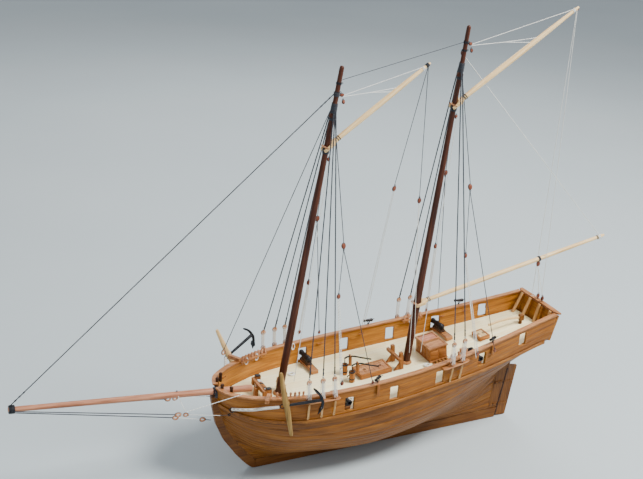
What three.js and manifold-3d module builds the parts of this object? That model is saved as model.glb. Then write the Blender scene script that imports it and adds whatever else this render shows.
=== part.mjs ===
// A display model of a small two-masted fore-and-aft schooner, bare-poled, built the way the wooden model is:
// keel, stem and sternpost; bulkheads and planking; deck and fittings; spars; standing and running rigging.
// Millimetres. +X towards the bow, +Y to port, +Z up. The origin is on the flat underside of the keel.

import * as THREE from 'three';
import { mergeVertices } from 'three/addons/utils/BufferGeometryUtils.js';
import Module from 'manifold-3d';

const wasm = await Module();
wasm.setup();

// ---------- driving dimensions ----------
// Lengths along the ship are measured from the aft end of the keel, and ORIGIN_X of them is the origin.

const ORIGIN_X = 112;
const GAP = 0.3; // left between pieces that meet
const PLANK = 1.5; // hull planking
const BULWARK = 2; // bulwark planking, inside and out
const DECK_THICK = 1.5;
const CAMBER = 1.2; // rise of the deck at the centreline
const KEEL_HALF = 1.9;
const STEM_HALF = 2;

const CAP_THICK = 1.2;
const CAP_OUT = 1;
const CAP_WIDTH = 4.2;
const WALE_HIGH = 2.6;
const WALE_OUT = 1;

const PORT_WIDE = 8; // gunports
const PORT_HIGH = 11.5;
const PORT_SILL = 1.3; // above the deck at the side
const PORT_X = [168.5, 130, 88, 46.3, 3];
const GUN_X = { fore: 168.5, aft: 46.3 };

// Each spar: its heel or jaws, its outer end, and its radius at both.
const FOREMAST = { foot: [212.4, 29], head: [170.5, 317.8], rFoot: 3, rHead: 1.7 };
const MAINMAST = { foot: [98.2, 29], head: [67.1, 343.6], rFoot: 3, rHead: 1.6 };
const BOWSPRIT = { heel: [230.8, 71.35], tip: [413, 88.6], rHeel: 2.7, rTip: 1.9 };
const FORE_GAFF = { throat: 259.3, peak: [97.5, 318.2], rThroat: 2, rPeak: 1.2 };
const MAIN_GAFF = { throat: 284.6, peak: [-32, 356.5], rThroat: 2.1, rPeak: 1.2 };
const MAIN_BOOM = { throat: 121.8, peak: [-94, 160], rThroat: 1.9, rPeak: 1.4 };

const FORE_HOUNDS = 286; // where the shroud collars sit
const MAIN_HOUNDS = 311;

const RUDDER_RAKE = 0.1695; // the rudder's axis leans aft by this much of its height
const RUDDER_AXIS_X = -1.6;
const STERNPOST_CLEAR = 1.6; // from the rudder's axis to the sternpost

const ROPE = { shroud: 0.45, stay: 0.5, lanyard: 0.28, halyard: 0.35 };
const DEADEYE = { r: 2.1, thick: 1.7 };

// ---------- colours ----------

const WOOD = {
  hull: 0xa8682c, bulwark: 0xc08038, deck: 0xf2e2b8, rail: 0xb98a63, mast: 0x5c2f20, spar: 0xe6c79c,
  bowsprit: 0xc48f6c, fitting: 0x9a6234, pale: 0xe9cda0, ply: 0xcaa873,
};
const IRON = 0x1c1c1e;
const ROPE_BLACK = 0x15161a;
const ROPE_WHITE = 0xe8e2d2;
const BRONZE = 0x2a2521;

const ship = new THREE.Group();

function material(color, metal = 0) {
  return new THREE.MeshStandardMaterial({ color, roughness: metal ? 0.5 : 0.65, metalness: metal });
}

// ---------- solids ----------

function signedVolume(geometry) {
  const p = geometry.getAttribute('position');
  const index = geometry.getIndex();
  const a = new THREE.Vector3();
  const b = new THREE.Vector3();
  const c = new THREE.Vector3();
  let sum = 0;
  for (let i = 0; i < index.count; i += 3) {
    a.fromBufferAttribute(p, index.getX(i));
    b.fromBufferAttribute(p, index.getX(i + 1));
    c.fromBufferAttribute(p, index.getX(i + 2));
    sum += a.dot(b.cross(c));
  }
  return sum;
}

// A closed mesh with merged corners, as a solid whose faces point out.
function solid(source) {
  const bare = source.clone();
  bare.deleteAttribute('normal');
  bare.deleteAttribute('uv');
  const geometry = mergeVertices(bare, 1e-4);
  const index = Uint32Array.from(geometry.getIndex().array);
  if (signedVolume(geometry) < 0) index.reverse();
  const vertProperties = Float32Array.from(geometry.getAttribute('position').array);
  return new wasm.Manifold(new wasm.Mesh({ numProp: 3, vertProperties, triVerts: index }));
}

function join(parts) {
  return parts.reduce((whole, part) => whole.add(part));
}

function cut(whole, parts) {
  return parts.reduce((rest, part) => rest.subtract(part), whole);
}

// Adds a solid to the ship as a named mesh.
function piece(name, body, color, metal = 0) {
  const mesh = body.getMesh();
  const stride = mesh.numProp;
  const positions = new Float32Array((mesh.vertProperties.length / stride) * 3);
  for (let i = 0; i < positions.length / 3; i += 1) {
    for (let k = 0; k < 3; k += 1) positions[i * 3 + k] = mesh.vertProperties[i * stride + k];
  }
  const geometry = new THREE.BufferGeometry();
  geometry.setAttribute('position', new THREE.BufferAttribute(positions, 3));
  geometry.setIndex(new THREE.BufferAttribute(Uint32Array.from(mesh.triVerts), 1));
  geometry.computeVertexNormals();
  const item = new THREE.Mesh(geometry, material(color, metal));
  item.name = name;
  ship.add(item);
}

function block(x0, x1, y0, y1, z0, z1) {
  const box = new THREE.BoxGeometry(x1 - x0, y1 - y0, z1 - z0);
  box.translate((x0 + x1) / 2, (y0 + y1) / 2, (z0 + z1) / 2);
  return solid(box);
}

// A round bar from a to b.
function rod(a, b, r0, r1 = r0, sides = 8) {
  const from = new THREE.Vector3(...a);
  const to = new THREE.Vector3(...b);
  const along = to.clone().sub(from);
  const bar = new THREE.CylinderGeometry(r1, r0, along.length(), sides);
  bar.translate(0, along.length() / 2, 0);
  const turn = new THREE.Quaternion().setFromUnitVectors(new THREE.Vector3(0, 1, 0), along.normalize());
  bar.applyQuaternion(turn);
  bar.translate(from.x, from.y, from.z);
  return solid(bar);
}

// A rope through several points.
function rope(points, radius, sides = 5) {
  const parts = [];
  for (let i = 0; i + 1 < points.length; i += 1) {
    parts.push(rod(points[i], points[i + 1], radius, radius, sides));
    if (i > 0) parts.push(ball(points[i], radius * 1.1, 5));
  }
  return join(parts);
}

function ball(centre, radius, sides = 6) {
  const sphere = new THREE.SphereGeometry(radius, sides, 4);
  sphere.translate(...centre);
  return solid(sphere);
}

// A turned piece: [radius, height] points from the axis back to the axis, standing at base along axis.
function turned(profile, base, axis, sides = 12) {
  const outline = profile.map(([r, h]) => new THREE.Vector2(r, h));
  const lathe = new THREE.LatheGeometry(outline, sides);
  const up = new THREE.Vector3(...axis).normalize();
  lathe.applyQuaternion(new THREE.Quaternion().setFromUnitVectors(new THREE.Vector3(0, 1, 0), up));
  lathe.translate(...base);
  return solid(lathe);
}

// A ring of rectangular section around an axis.
function ring(centre, axis, rIn, rOut, height, sides = 12) {
  const h = height / 2;
  return turned([[rIn, -h], [rOut, -h], [rOut, h], [rIn, h], [rIn, -h]], centre, axis, sides);
}

// An outline in the X-Z plane, given a thickness to both sides of the centreline.
function plateXZ(outline, half, y = 0) {
  const shape = new THREE.Shape(outline.map(([x, z]) => new THREE.Vector2(x, z)));
  const plate = new THREE.ExtrudeGeometry(shape, { depth: half * 2, bevelEnabled: false });
  plate.rotateX(Math.PI / 2);
  plate.translate(0, y + half, 0);
  return solid(plate);
}

// A flat bar that follows points in the X-Z plane, wide across the plane's own direction.
function flatBar(points, wide, half) {
  const side = (sign) => points.map(([x, z], i) => {
    const [x0, z0] = points[Math.max(0, i - 1)];
    const [x1, z1] = points[Math.min(points.length - 1, i + 1)];
    const long = Math.hypot(x1 - x0, z1 - z0);
    return [x - (sign * wide * (z1 - z0)) / (2 * long), z + (sign * wide * (x1 - x0)) / (2 * long)];
  });
  return plateXZ([...side(1), ...side(-1).reverse()], half);
}

// The solid between two grids of points: front[i][j] and back[i][j].
function slab(front, back) {
  const rows = front.length;
  const cols = front[0].length;
  const positions = [];
  for (const grid of [front, back]) {
    for (const line of grid) line.forEach((p) => positions.push(p.x, p.y, p.z));
  }
  const at = (side, i, j) => side * rows * cols + i * cols + j;
  const index = [];
  const quad = (a, b, c, d) => index.push(a, b, c, a, c, d);
  for (let i = 0; i + 1 < rows; i += 1) {
    for (let j = 0; j + 1 < cols; j += 1) {
      quad(at(0, i, j), at(0, i + 1, j), at(0, i + 1, j + 1), at(0, i, j + 1));
      quad(at(1, i, j), at(1, i, j + 1), at(1, i + 1, j + 1), at(1, i + 1, j));
    }
    quad(at(0, i, 0), at(1, i, 0), at(1, i + 1, 0), at(0, i + 1, 0));
    quad(at(0, i, cols - 1), at(0, i + 1, cols - 1), at(1, i + 1, cols - 1), at(1, i, cols - 1));
  }
  for (let j = 0; j + 1 < cols; j += 1) {
    quad(at(0, 0, j), at(0, 0, j + 1), at(1, 0, j + 1), at(1, 0, j));
    quad(at(0, rows - 1, j), at(1, rows - 1, j), at(1, rows - 1, j + 1), at(0, rows - 1, j + 1));
  }
  const geometry = new THREE.BufferGeometry();
  geometry.setAttribute('position', new THREE.Float32BufferAttribute(positions, 3));
  geometry.setIndex(index);
  return solid(geometry);
}

// ---------- the hull's surface ----------
// Frames from the stern to the bow. Each has seven points from the keel's rabbet up to the rail; the last
// but one is on the wale. A frame that stands square to the keel gives one x; the others lean with the
// stern or the stem.

function square(x, points) {
  return points.map(([y, z]) => [x, y, z]);
}

const FRAMES = [
  [
    [6.5, 1.9, 9.3], [5.2, 1.9, 24], [3.2, 1.9, 42], [-6, 1.9, 56],
    [-26, 2.2, 78], [-28, 25.3, 82], [-33.2, 27, 105.8],
  ],
  [[10, 1.9, 9.3], [9, 2.1, 24], [6, 3, 43], [-1, 9, 59], [-8, 19, 71], [-12, 27.6, 79.5], [-14, 29, 102.6]],
  square(30, [[1.9, 9.2], [4.2, 19], [9, 31], [16.5, 43], [25, 55.5], [34, 72.8], [35.3, 95.3]]),
  square(80, [[1.9, 8.6], [10, 15], [20, 23], [29.5, 33.5], [36.5, 46], [41, 68.3], [41.7, 88.5]]),
  square(140, [[1.9, 7.6], [15, 11.5], [27, 18], [36, 27.5], [41.5, 40], [44.6, 62.5], [44.9, 83.1]]),
  square(200, [[1.9, 7.4], [11, 13], [21.5, 20.5], [30.5, 29.5], [37, 40], [41.3, 59], [41.8, 80.1]]),
  [
    [214, 1.9, 7.4], [222, 6.2, 15], [227, 12.5, 24], [230, 19, 33.5],
    [232, 25, 44], [232.5, 30, 59.8], [232.5, 31.4, 79.2],
  ],
  [
    [220, 1.9, 7.6], [231, 3.8, 18], [238, 7, 28.5], [243.5, 11, 39],
    [247, 15, 49.5], [249.5, 19, 63], [250, 20.6, 79],
  ],
  [
    [224, 1.9, 7.8], [235, 2.5, 19.4], [242.7, 3.8, 30.7], [248.6, 5.8, 41.2],
    [252.6, 8.2, 52], [255.8, 10.6, 64.2], [257.6, 12.6, 79],
  ],
  [
    [227.5, 1.9, 8], [238, 1.9, 20], [246.4, 1.9, 31.5], [252, 1.9, 42],
    [255.8, 1.9, 53], [258.5, 1.9, 64.5], [260.9, 1.9, 79],
  ],
];
// The deck at the side, below the rail, at each frame.
const DECK_BELOW_RAIL = [16.3, 16.4, 17, 18.5, 19.3, 19.1, 18.2, 17.4, 17.2, 17];

const WALE_V = 5 / 6; // the wale's place between the rabbet (0) and the rail (1)

const curve = (points) => new THREE.CatmullRomCurve3(points, false, 'catmullrom', 0.5);
const ROWS = FRAMES[0].map((_, k) => curve(FRAMES.map((frame) => new THREE.Vector3(...frame[k]))));
const DECK_DROP = curve(DECK_BELOW_RAIL.map((drop, i) => new THREE.Vector3(i, drop, 0)));

function hullPoint(u, v) {
  return curve(ROWS.map((row) => row.getPoint(u))).getPoint(v);
}

// The hull's outward normal on the port side.
function hullNormal(u, v) {
  const e = 0.01;
  const along = hullPoint(Math.min(u + e, 1), v).sub(hullPoint(Math.max(u - e, 0), v));
  const up = hullPoint(u, Math.min(v + e, 1)).sub(hullPoint(u, Math.max(v - e, 0)));
  return up.cross(along).normalize();
}

// A point under the hull's surface, never past the centreline.
function inset(u, v, depth) {
  const point = hullPoint(u, v).addScaledVector(hullNormal(u, v), -depth);
  point.y = Math.max(point.y, 0.45);
  return point;
}

// The same for an upright wall: the step inwards is level.
function levelInset(u, v, depth) {
  const normal = hullNormal(u, v).setZ(0).normalize();
  const point = hullPoint(u, v).addScaledVector(normal, -depth);
  point.y = Math.max(point.y, 0.45);
  return point;
}

// Where on a frame line the hull reaches a height.
function vAtHeight(u, z) {
  let low = 0;
  let high = 1;
  for (let i = 0; i < 30; i += 1) {
    const mid = (low + high) / 2;
    if (hullPoint(u, mid).z < z) low = mid;
    else high = mid;
  }
  return (low + high) / 2;
}

// Where along the hull the line at v reaches a station.
function uAtX(x, v) {
  let low = 0;
  let high = 1;
  for (let i = 0; i < 30; i += 1) {
    const mid = (low + high) / 2;
    if (hullPoint(mid, v).x < x) low = mid;
    else high = mid;
  }
  return (low + high) / 2;
}

const railPoint = (x) => hullPoint(uAtX(x, 1), 1);

// Height of the deck's top at the side, at a station.
function deckSide(x) {
  const u = uAtX(x, 1);
  return hullPoint(u, 1).z - DECK_DROP.getPoint(u).y;
}

function deckTop(x, y = 0) {
  const half = railPoint(x).y;
  return deckSide(x) + CAMBER * (1 - Math.min(1, (y / half) ** 2));
}

// The hull's port side at a station and height.
function sideAt(x, z) {
  let u = uAtX(x, 1);
  for (let i = 0; i < 6; i += 1) u = uAtX(x, vAtHeight(u, z));
  return hullPoint(u, vAtHeight(u, z)).y;
}

function steps(from, to, count) {
  return Array.from({ length: count + 1 }, (_, i) => from + ((to - from) * i) / count);
}

const mirrorPoint = (p) => new THREE.Vector3(p.x, -p.y, p.z);
const mirrorGrid = (grid) => grid.map((line) => line.map(mirrorPoint));

// ---------- keel, stem and sternpost ----------

const axisX = (z) => RUDDER_AXIS_X - RUDDER_RAKE * z; // the rudder's axis
const postAft = (z) => axisX(z) + STERNPOST_CLEAR;

function keel() {
  const bottom = [[postAft(0), 0], [225.5, 0]];
  const top = [225.5, 200, 140, 80, 30, 10].map((x) => [x, hullPoint(uAtX(x, 0), 0).z - GAP]);
  const outline = [...bottom, ...top, [postAft(9), 9]];
  piece('keel', plateXZ(outline, KEEL_HALF), WOOD.hull);
}

function stem() {
  const inner = steps(0, 5 / 6 + 0.06, 9).map((v) => hullPoint(1, v)).map((p) => [p.x + GAP, p.z - GAP / 2]);
  const outer = [
    [225.8, 0], [229, 0.8], [234, 5], [243.4, 16.2], [253.3, 30.7], [260, 46.3], [262.8, 60], [264.3, 70.4],
  ];
  const outline = [...outer, [260.6, 70.4], ...inner.slice(0, 9).reverse(), [225.8, 7]];
  const gammon = rod([259.5, -STEM_HALF - 1, 66], [259.5, STEM_HALF + 1, 66], 0.8, 0.8, 8);
  piece('stem', cut(plateXZ(outline, STEM_HALF), [gammon]), WOOD.hull);
}

function sternpost() {
  const fore = [0, 1 / 6, 2 / 6, 2.5 / 6, 3 / 6].map((v) => hullPoint(0, v)).map((p) => [p.x - 2 * GAP, p.z]);
  const outline = [[postAft(9.6), 9.6], [fore[0][0], 9.6], ...fore.slice(1), [postAft(54), 54]];
  const strapHalf = KEEL_HALF + 0.45;
  const straps = [12, 33].map((z) => block(postAft(z) + 0.9, 2.6, -strapHalf, strapHalf, z, z + 2));
  piece('sternpost', join([plateXZ(outline, KEEL_HALF - GAP), ...straps]), WOOD.hull);
}

// ---------- planking, bulwarks, deck ----------

const LENGTHWISE = 26;

function planking() {
  const vs = steps(0, WALE_V, 9);
  const us = steps(0, 1, LENGTHWISE);
  const line = (u, at) => {
    const port = vs.map((v) => at(u, v)).reverse();
    return [...port, ...port.map(mirrorPoint).reverse()];
  };
  const outer = us.map((u) => line(u, hullPoint));
  const inner = us.map((u) => line(u, innerFace));
  const stock = rod([axisX(55), 0, 55], [axisX(90), 0, 90], 1.8, 1.8, 12);
  piece('hull_planking', cut(slab(outer, inner), [stock]), WOOD.hull);
}

// The planking's inner face; along the rabbet it is above the keel instead of beside it, and under the wale it is
// level with the outer face.
function innerFace(u, v) {
  const point = v === WALE_V ? levelInset(u, v, PLANK) : inset(u, v, PLANK);
  if (v === 0) {
    point.copy(hullPoint(u, 0));
    point.y = 0.9;
    point.z += PLANK;
    if (u === 1) point.x -= PLANK;
  }
  return point;
}

const BULWARK_U = steps(0, 1, LENGTHWISE);

function gunports(side) {
  return PORT_X.map((x) => {
    const z = deckSide(x) + PORT_SILL;
    const y = railPoint(x).y * side;
    return block(x - PORT_WIDE / 2, x + PORT_WIDE / 2, y - 8, y + 8, z, z + PORT_HIGH);
  });
}

const SIDES = [['port', 1], ['starboard', -1]];

// The bulwark stands on the planking and stops under the cap rail.
function bulwarkRows(u) {
  const foot = vAtHeight(u, hullPoint(u, WALE_V).z + GAP);
  const top = vAtHeight(u, hullPoint(u, 1).z - CAP_THICK - GAP);
  return [foot, (foot + top) / 2, top];
}

function bulwarks() {
  const outer = BULWARK_U.map((u) => bulwarkRows(u).map((v) => hullPoint(u, v)));
  const inner = BULWARK_U.map((u) => bulwarkRows(u).map((v) => levelInset(u, v, BULWARK)));
  const hole = rod([255, 0, 73.65], [266, 0, 74.7], 3.1, 3.1, 16);
  const hawse = [[246, 9, 66.5], [262, 24, 66.5]];
  for (const [name, side] of SIDES) {
    const shell = side > 0 ? slab(outer, inner) : slab(mirrorGrid(outer), mirrorGrid(inner));
    const [pipeIn, pipeOut] = hawse.map(([x, y, z]) => [x, y * side, z]);
    const pipe = rod(pipeIn, pipeOut, 1);
    piece(`bulwark_${name}`, cut(shell, [...gunports(side), hole, pipe]), WOOD.bulwark);
  }
}

// The deck's port edge, clear of the bulwark's inner face.
function deckEdge() {
  const edge = [];
  for (const u of steps(0.012, 0.985, LENGTHWISE)) {
    const top = hullPoint(u, 1).z - DECK_DROP.getPoint(u).y;
    const p = levelInset(u, vAtHeight(u, top), BULWARK + GAP + 0.15);
    const under = levelInset(u, vAtHeight(u, top - DECK_THICK), BULWARK + GAP + 0.15);
    p.y = Math.min(p.y, under.y) - (u < 0.1 ? 0.35 : 0);
    const last = edge[edge.length - 1];
    if (p.y > 1 && (!last || p.x > last.x + 1.5)) edge.push(p);
  }
  return edge;
}

function deck() {
  const across = [-1, -0.5, 0, 0.5, 1];
  const grid = (drop) => deckEdge().map((edge) => across.map((t) => {
    const y = edge.y * t;
    return new THREE.Vector3(edge.x, y, deckTop(edge.x, y) - drop);
  }));
  const holes = [
    rod([mastX(FOREMAST, 55), 0, 55], [mastX(FOREMAST, 70), 0, 70], 3.25, 3.25, 16),
    rod([mastX(MAINMAST, 60), 0, 60], [mastX(MAINMAST, 76), 0, 76], 3.25, 3.25, 16),
    rod([axisX(80), 0, 80], [axisX(92), 0, 92], 2, 2, 12),
  ];
  piece('deck', cut(slab(grid(0), grid(DECK_THICK)), holes), WOOD.deck);
}

// A strip along the hull with a rectangular section: reach is [outwards, inwards] from the surface.
function strip(us, v, reach, top, bottom) {
  const corner = (u, out, dz) => {
    const normal = hullNormal(u, v).setZ(0).normalize();
    const p = hullPoint(u, v).addScaledVector(normal, out);
    p.z += dz;
    return p;
  };
  const face = (dz) => us.map((u) => reach.map((out) => corner(u, out, dz)));
  return slab(face(top), face(bottom));
}

function capRails() {
  const us = [0.005, ...steps(0.03, 0.93, 20), 0.955, 0.975, 0.992];
  const rail = strip(us, 1, [CAP_OUT, CAP_OUT - CAP_WIDTH], 0, -CAP_THICK);
  const centre = block(240, 275, -1.2, 1.2, 70, 90);
  const bowsprit = rod([250, 0, 73.2], [270, 0, 75.1], 3.1, 3.1, 16);
  const head = railPoint(230);
  const beam = block(-2, 9, -1.4, 1.4, 0.1, 2.9).rotate([0, 0, 58]);
  const cathead = beam.translate([head.x, head.y - 1.5, head.z - 0.4]);
  const timber = cut(join([rail, cathead]), [centre, bowsprit]);
  piece('cap_rail_port', timber, WOOD.rail);
  piece('cap_rail_starboard', timber.mirror([0, 1, 0]), WOOD.rail);
}

function wales() {
  const us = steps(0.04, 0.985, 22);
  const half = WALE_HIGH / 2;
  const wale = strip(us, WALE_V, [WALE_OUT + 0.5, 0.5], half, -half);
  const body = cut(wale, [block(250, 275, -3, 3, 50, 90)]);
  piece('wale_port', body, WOOD.pale);
  piece('wale_starboard', body.mirror([0, 1, 0]), WOOD.pale);
}

// ---------- transom ----------

const TRANSOM_FOOT = [-28.1, 82]; // the inner face's x and z at the wale
const TRANSOM_RAKE = Math.atan2(33.2 - 28, 105.8 - 82);
const TRANSOM_THICK = 1.8;

// Turns a board drawn upright, facing aft, into the transom's raked plane.
function raked(body) {
  const degrees = THREE.MathUtils.radToDeg(-TRANSOM_RAKE);
  return body.rotate([0, degrees, 0]).translate([TRANSOM_FOOT[0] - GAP, 0, TRANSOM_FOOT[1]]);
}

function transom() {
  const shape = new THREE.Shape();
  shape.moveTo(-26, -0.4);
  shape.quadraticCurveTo(0, -7.5, 26, -0.4);
  shape.lineTo(27.3, 22.7);
  shape.lineTo(-27.3, 22.7);
  const how = { depth: TRANSOM_THICK, bevelEnabled: false, curveSegments: 10 };
  const board = new THREE.ExtrudeGeometry(shape, how);
  board.rotateX(Math.PI / 2);
  board.rotateZ(-Math.PI / 2);
  const parts = [raked(solid(board))];
  for (const y of [-20.5, -8, 8, 20.5]) parts.push(raked(block(-0.2, 2.4, y - 1.3, y + 1.3, 8.6, 22.6)));
  const strapOutline = [[axisX(66) - 3.2, 64.5], [-27.6, 78.5], [-29.6, 78.5], [axisX(66) - 5, 64.5]];
  const strap = plateXZ(strapOutline, KEEL_HALF - GAP);
  piece('transom', join([...parts, strap]), WOOD.bulwark);
}

function taffrail() {
  const z = 105.9;
  const x = TRANSOM_FOOT[0] - Math.tan(TRANSOM_RAKE) * (z - TRANSOM_FOOT[1]) - GAP;
  const board = new THREE.Shape();
  board.moveTo(x + 1.6, -23.6);
  board.lineTo(x + 1.6, 23.6);
  board.lineTo(x + 0.1, 28);
  board.lineTo(x - 2.6, 28);
  board.quadraticCurveTo(x - 4, 0, x - 2.6, -28);
  board.lineTo(x + 0.1, -28);
  const plate = new THREE.ExtrudeGeometry(board, { depth: CAP_THICK, bevelEnabled: false, curveSegments: 8 });
  plate.translate(0, 0, z - 0.6);
  piece('taffrail', solid(plate), WOOD.rail);
}

// ---------- inside the hull ----------

const BULKHEADS = { aft: 36, middle: 118, fore: 192 };
const BULKHEAD_HALF = 1;
const SPINE_HALF = 1.5;
const SPINE_TOP = 28;
const LAP = 22; // the height where a bulkhead and the spine slot into each other

function bulkheads() {
  for (const [name, x] of Object.entries(BULKHEADS)) {
    const u = uAtX(x, 1);
    const side = steps(0, 0.8, 9).map((v) => inset(u, v, PLANK + GAP + 0.25)).map((p) => [p.y, p.z]);
    side[0] = [1.2, hullPoint(u, 0).z + PLANK + GAP];
    const top = deckSide(x) - DECK_THICK - GAP;
    const half = side.filter(([, z]) => z < top);
    const last = half[half.length - 1];
    const outline = [...half, [last[0], top], [-last[0], top], ...half.map(([y, z]) => [-y, z]).reverse()];
    const shape = new THREE.Shape(outline.map(([y, z]) => new THREE.Vector2(y, z)));
    const plate = new THREE.ExtrudeGeometry(shape, { depth: BULKHEAD_HALF * 2, bevelEnabled: false });
    plate.rotateX(Math.PI / 2);
    plate.rotateZ(Math.PI / 2);
    plate.translate(x - BULKHEAD_HALF, 0, 0);
    const slot = block(x - 3, x + 3, -SPINE_HALF - GAP, SPINE_HALF + GAP, 0, LAP);
    piece(`bulkhead_${name}`, cut(solid(plate), [slot]), WOOD.ply);
  }
}

// The height above which the spine's half width is clear of the planking.
function floorUnder(x) {
  let v = 0;
  while (inset(uAtX(x, v), v, PLANK + GAP).y < SPINE_HALF + 0.2) v += 0.01;
  return inset(uAtX(x, v), v, PLANK + GAP).z;
}

function spine() {
  const low = [30, 55, 80, 110, 140, 170, 200, 212].map((x) => [x, floorUnder(x)]);
  const plate = plateXZ([...low, [218, SPINE_TOP - 6], [218, SPINE_TOP], [30, SPINE_TOP]], SPINE_HALF);
  const slots = Object.values(BULKHEADS).map((x) => {
    const half = BULKHEAD_HALF + GAP;
    return block(x - half, x + half, -3, 3, LAP - GAP, SPINE_TOP + 2);
  });
  piece('spine', cut(plate, slots), WOOD.ply);
}

// ---------- rudder ----------

const RUDDER_HEAD = 91;
const RUDDER_TILT = Math.atan(RUDDER_RAKE);
const rudderPoint = (z, out = 0) => [axisX(z) - out * Math.cos(RUDDER_TILT), z - out * Math.sin(RUDDER_TILT)];

function rudder() {
  const blade = plateXZ([rudderPoint(1), [-11.8, 0.5], [-18.6, 47.5], rudderPoint(49)], 1.2);
  const edge = rod([axisX(1), 0, 1], [axisX(49), 0, 49], 1.2, 1.2, 10);
  const stock = rod([axisX(46), 0, 46], [axisX(RUDDER_HEAD), 0, RUDDER_HEAD], 1.4, 1.4, 10);
  const head = block(-1.9, 1.9, -1.9, 1.9, 0, 4.5).translate([axisX(RUDDER_HEAD), 0, RUDDER_HEAD - 0.3]);
  const straps = [12, 33].map((z) => block(axisX(z) - 8, axisX(z), -1.6, 1.6, z - 1, z + 1));
  piece('rudder', join([blade, edge, stock, head, ...straps]), WOOD.hull);
}

function tiller() {
  const x = axisX(RUDDER_HEAD) + 1.9 + GAP;
  const z = RUDDER_HEAD + 2.2;
  const bar = flatBar([[x, z], [x + 6, z + 0.5], [x + 12, z + 0.6], [x + 20, z - 0.2], [x + 31, z - 2.2]], 1.7, 0.8);
  piece('tiller', bar, WOOD.spar);
}

// ---------- deck fittings ----------

// Sets a fitting, drawn about the origin with its underside at z = 0, on the deck at a station.
function onDeck(body, x, y = 0, reach = 5) {
  const slope = Math.atan2(deckTop(x - reach) - deckTop(x + reach), 2 * reach);
  const high = deckTop(x, Math.max(0, Math.abs(y) - 3));
  return body.rotate([0, THREE.MathUtils.radToDeg(slope), 0]).translate([x, y, high + GAP]);
}

function mainHatch() {
  const coaming = block(-14, 14, -8, 8, 0, 4.2);
  const well = block(-12.6, 12.6, -6.6, 6.6, 2.9, 6);
  const battens = steps(-9.4, 9.4, 4).map((x) => block(x - 0.7, x + 0.7, -6.7, 6.7, 2.8, 3.8));
  const body = join([cut(coaming, [well]), ...battens]);
  piece('main_hatch', onDeck(body, 125.5, 0, 12), WOOD.rail);
}

function aftHatch() {
  const coaming = block(-5, 5, -6.5, 6.5, 0, 3.4);
  const well = block(-4, 4, -5.5, 5.5, 2.6, 5);
  piece('aft_hatch', onDeck(cut(coaming, [well]), 22.5, 0), WOOD.rail);
}

function companion() {
  const walls = block(-8, 8, -11.5, 11.5, 0, 11.5);
  const inside = block(-6.6, 6.6, -10.1, 10.1, 1.2, 14);
  piece('companion', onDeck(cut(walls, [inside]), 70, 0), WOOD.fitting);
  const board = block(-8.8, 8.8, -12.3, 12.3, 11.5 + GAP, 13);
  const panels = [-5.9, 5.9].map((y) => block(-6.8, 6.8, y - 4.9, y + 4.9, 12.6, 15));
  piece('companion_lid', onDeck(cut(board, panels), 70, 0), WOOD.rail);
}

function mainBitts() {
  const posts = [-7, 7].map((y) => block(-1.4, 1.4, y - 1.4, y + 1.4, 0, 15));
  const beam = block(1.2, 3.6, -11.5, 11.5, 8.6, 11.2);
  const knees = [-7, 7].map((y) => plateXZ([[1.2, 0], [7, 0], [1.2, 6.5]], 0.7, y));
  piece('main_bitts', onDeck(join([...posts, beam, ...knees]), 102.5, 0), WOOD.fitting);
}

const WINDLASS = { x: 221.5, height: 6.6, half: 13.5 };

function windlass() {
  const hole = rod([0, -20, WINDLASS.height], [0, 20, WINDLASS.height], 1.3, 1.3, 12);
  const posts = [-11, 11].map((y) => block(-2.2, 2.2, y - 1.3, y + 1.3, 0, 12.5));
  const norman = block(2.4, 4.6, -11.8, 11.8, 8.8, 11);
  const cheeks = [-11, 11].map((y) => block(2, 4.6, y - 1.3, y + 1.3, 5, 11));
  const pawl = block(4.4, 7, -1.7, 1.7, 0, 8.2);
  const pawlHead = block(3.7, 5, -1.7, 1.7, 7, 9.4);
  const frame = cut(join([...posts, norman, ...cheeks, pawl, pawlHead]), [hole]);
  piece('windlass_bitts', onDeck(frame, WINDLASS.x, 0), WOOD.fitting);

  const h = WINDLASS.half;
  const profile = [
    [0, -h], [1.9, -h], [2.6, -h + 0.6], [1.8, -h + 1.1], [1.1, -12.6], [1.1, -9.4], [2.7, -9.4], [2.7, -1.6],
    [3.1, -1.6], [3.1, 1.6], [2.7, 1.6], [2.7, 9.4], [1.1, 9.4], [1.1, 12.6],
    [1.8, h - 1.1], [2.6, h - 0.6], [1.9, h], [0, h],
  ];
  const barrel = turned(profile, [0, 0, WINDLASS.height], [0, 1, 0], 8);
  piece('windlass_barrel', onDeck(barrel, WINDLASS.x, 0), WOOD.fitting);
}

const PUMP = { x: 147, y: 6.5, pivotX: -5, pivotZ: 15.2 };

function pumps() {
  for (const [name, side] of SIDES) {
    const shell = [[0, 0], [2.3, 0], [2.3, 8.6], [1.75, 8.6], [1.75, 3], [0, 3]];
    const barrel = turned(shell, [0, 0, 0], [0, 0, 1], 10);
    const collar = ring([0, 0, 7.6], [0, 0, 1], 2, 2.7, 1.2, 10);
    const bracket = join([
      block(-4.2, -2, -0.8, 0.8, 6.9, 8.2),
      block(-5.6, -4.2, -1.5, -0.75, 6.9, 16.2),
      block(-5.6, -4.2, 0.75, 1.5, 6.9, 16.2),
      block(-4.7, -4, -1.5, 1.5, 6.9, 8.2),
    ]);
    piece(`pump_${name}`, onDeck(join([barrel, collar, bracket]), PUMP.x, PUMP.y * side), WOOD.fitting);
    const lever = flatBar([[0.4, 14.3], [-2.5, 15.1], [-5, 15.2], [-9, 14], [-17, 10.5], [-24, 7.8]], 1, 0.45);
    const spear = rod([0, 0, 14.8], [0, 0, 10.4], 0.4, 0.4, 5);
    piece(`pump_handle_${name}`, onDeck(join([lever, spear]), PUMP.x, PUMP.y * side), IRON, 0.8);
  }
}

// ---------- guns ----------

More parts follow.
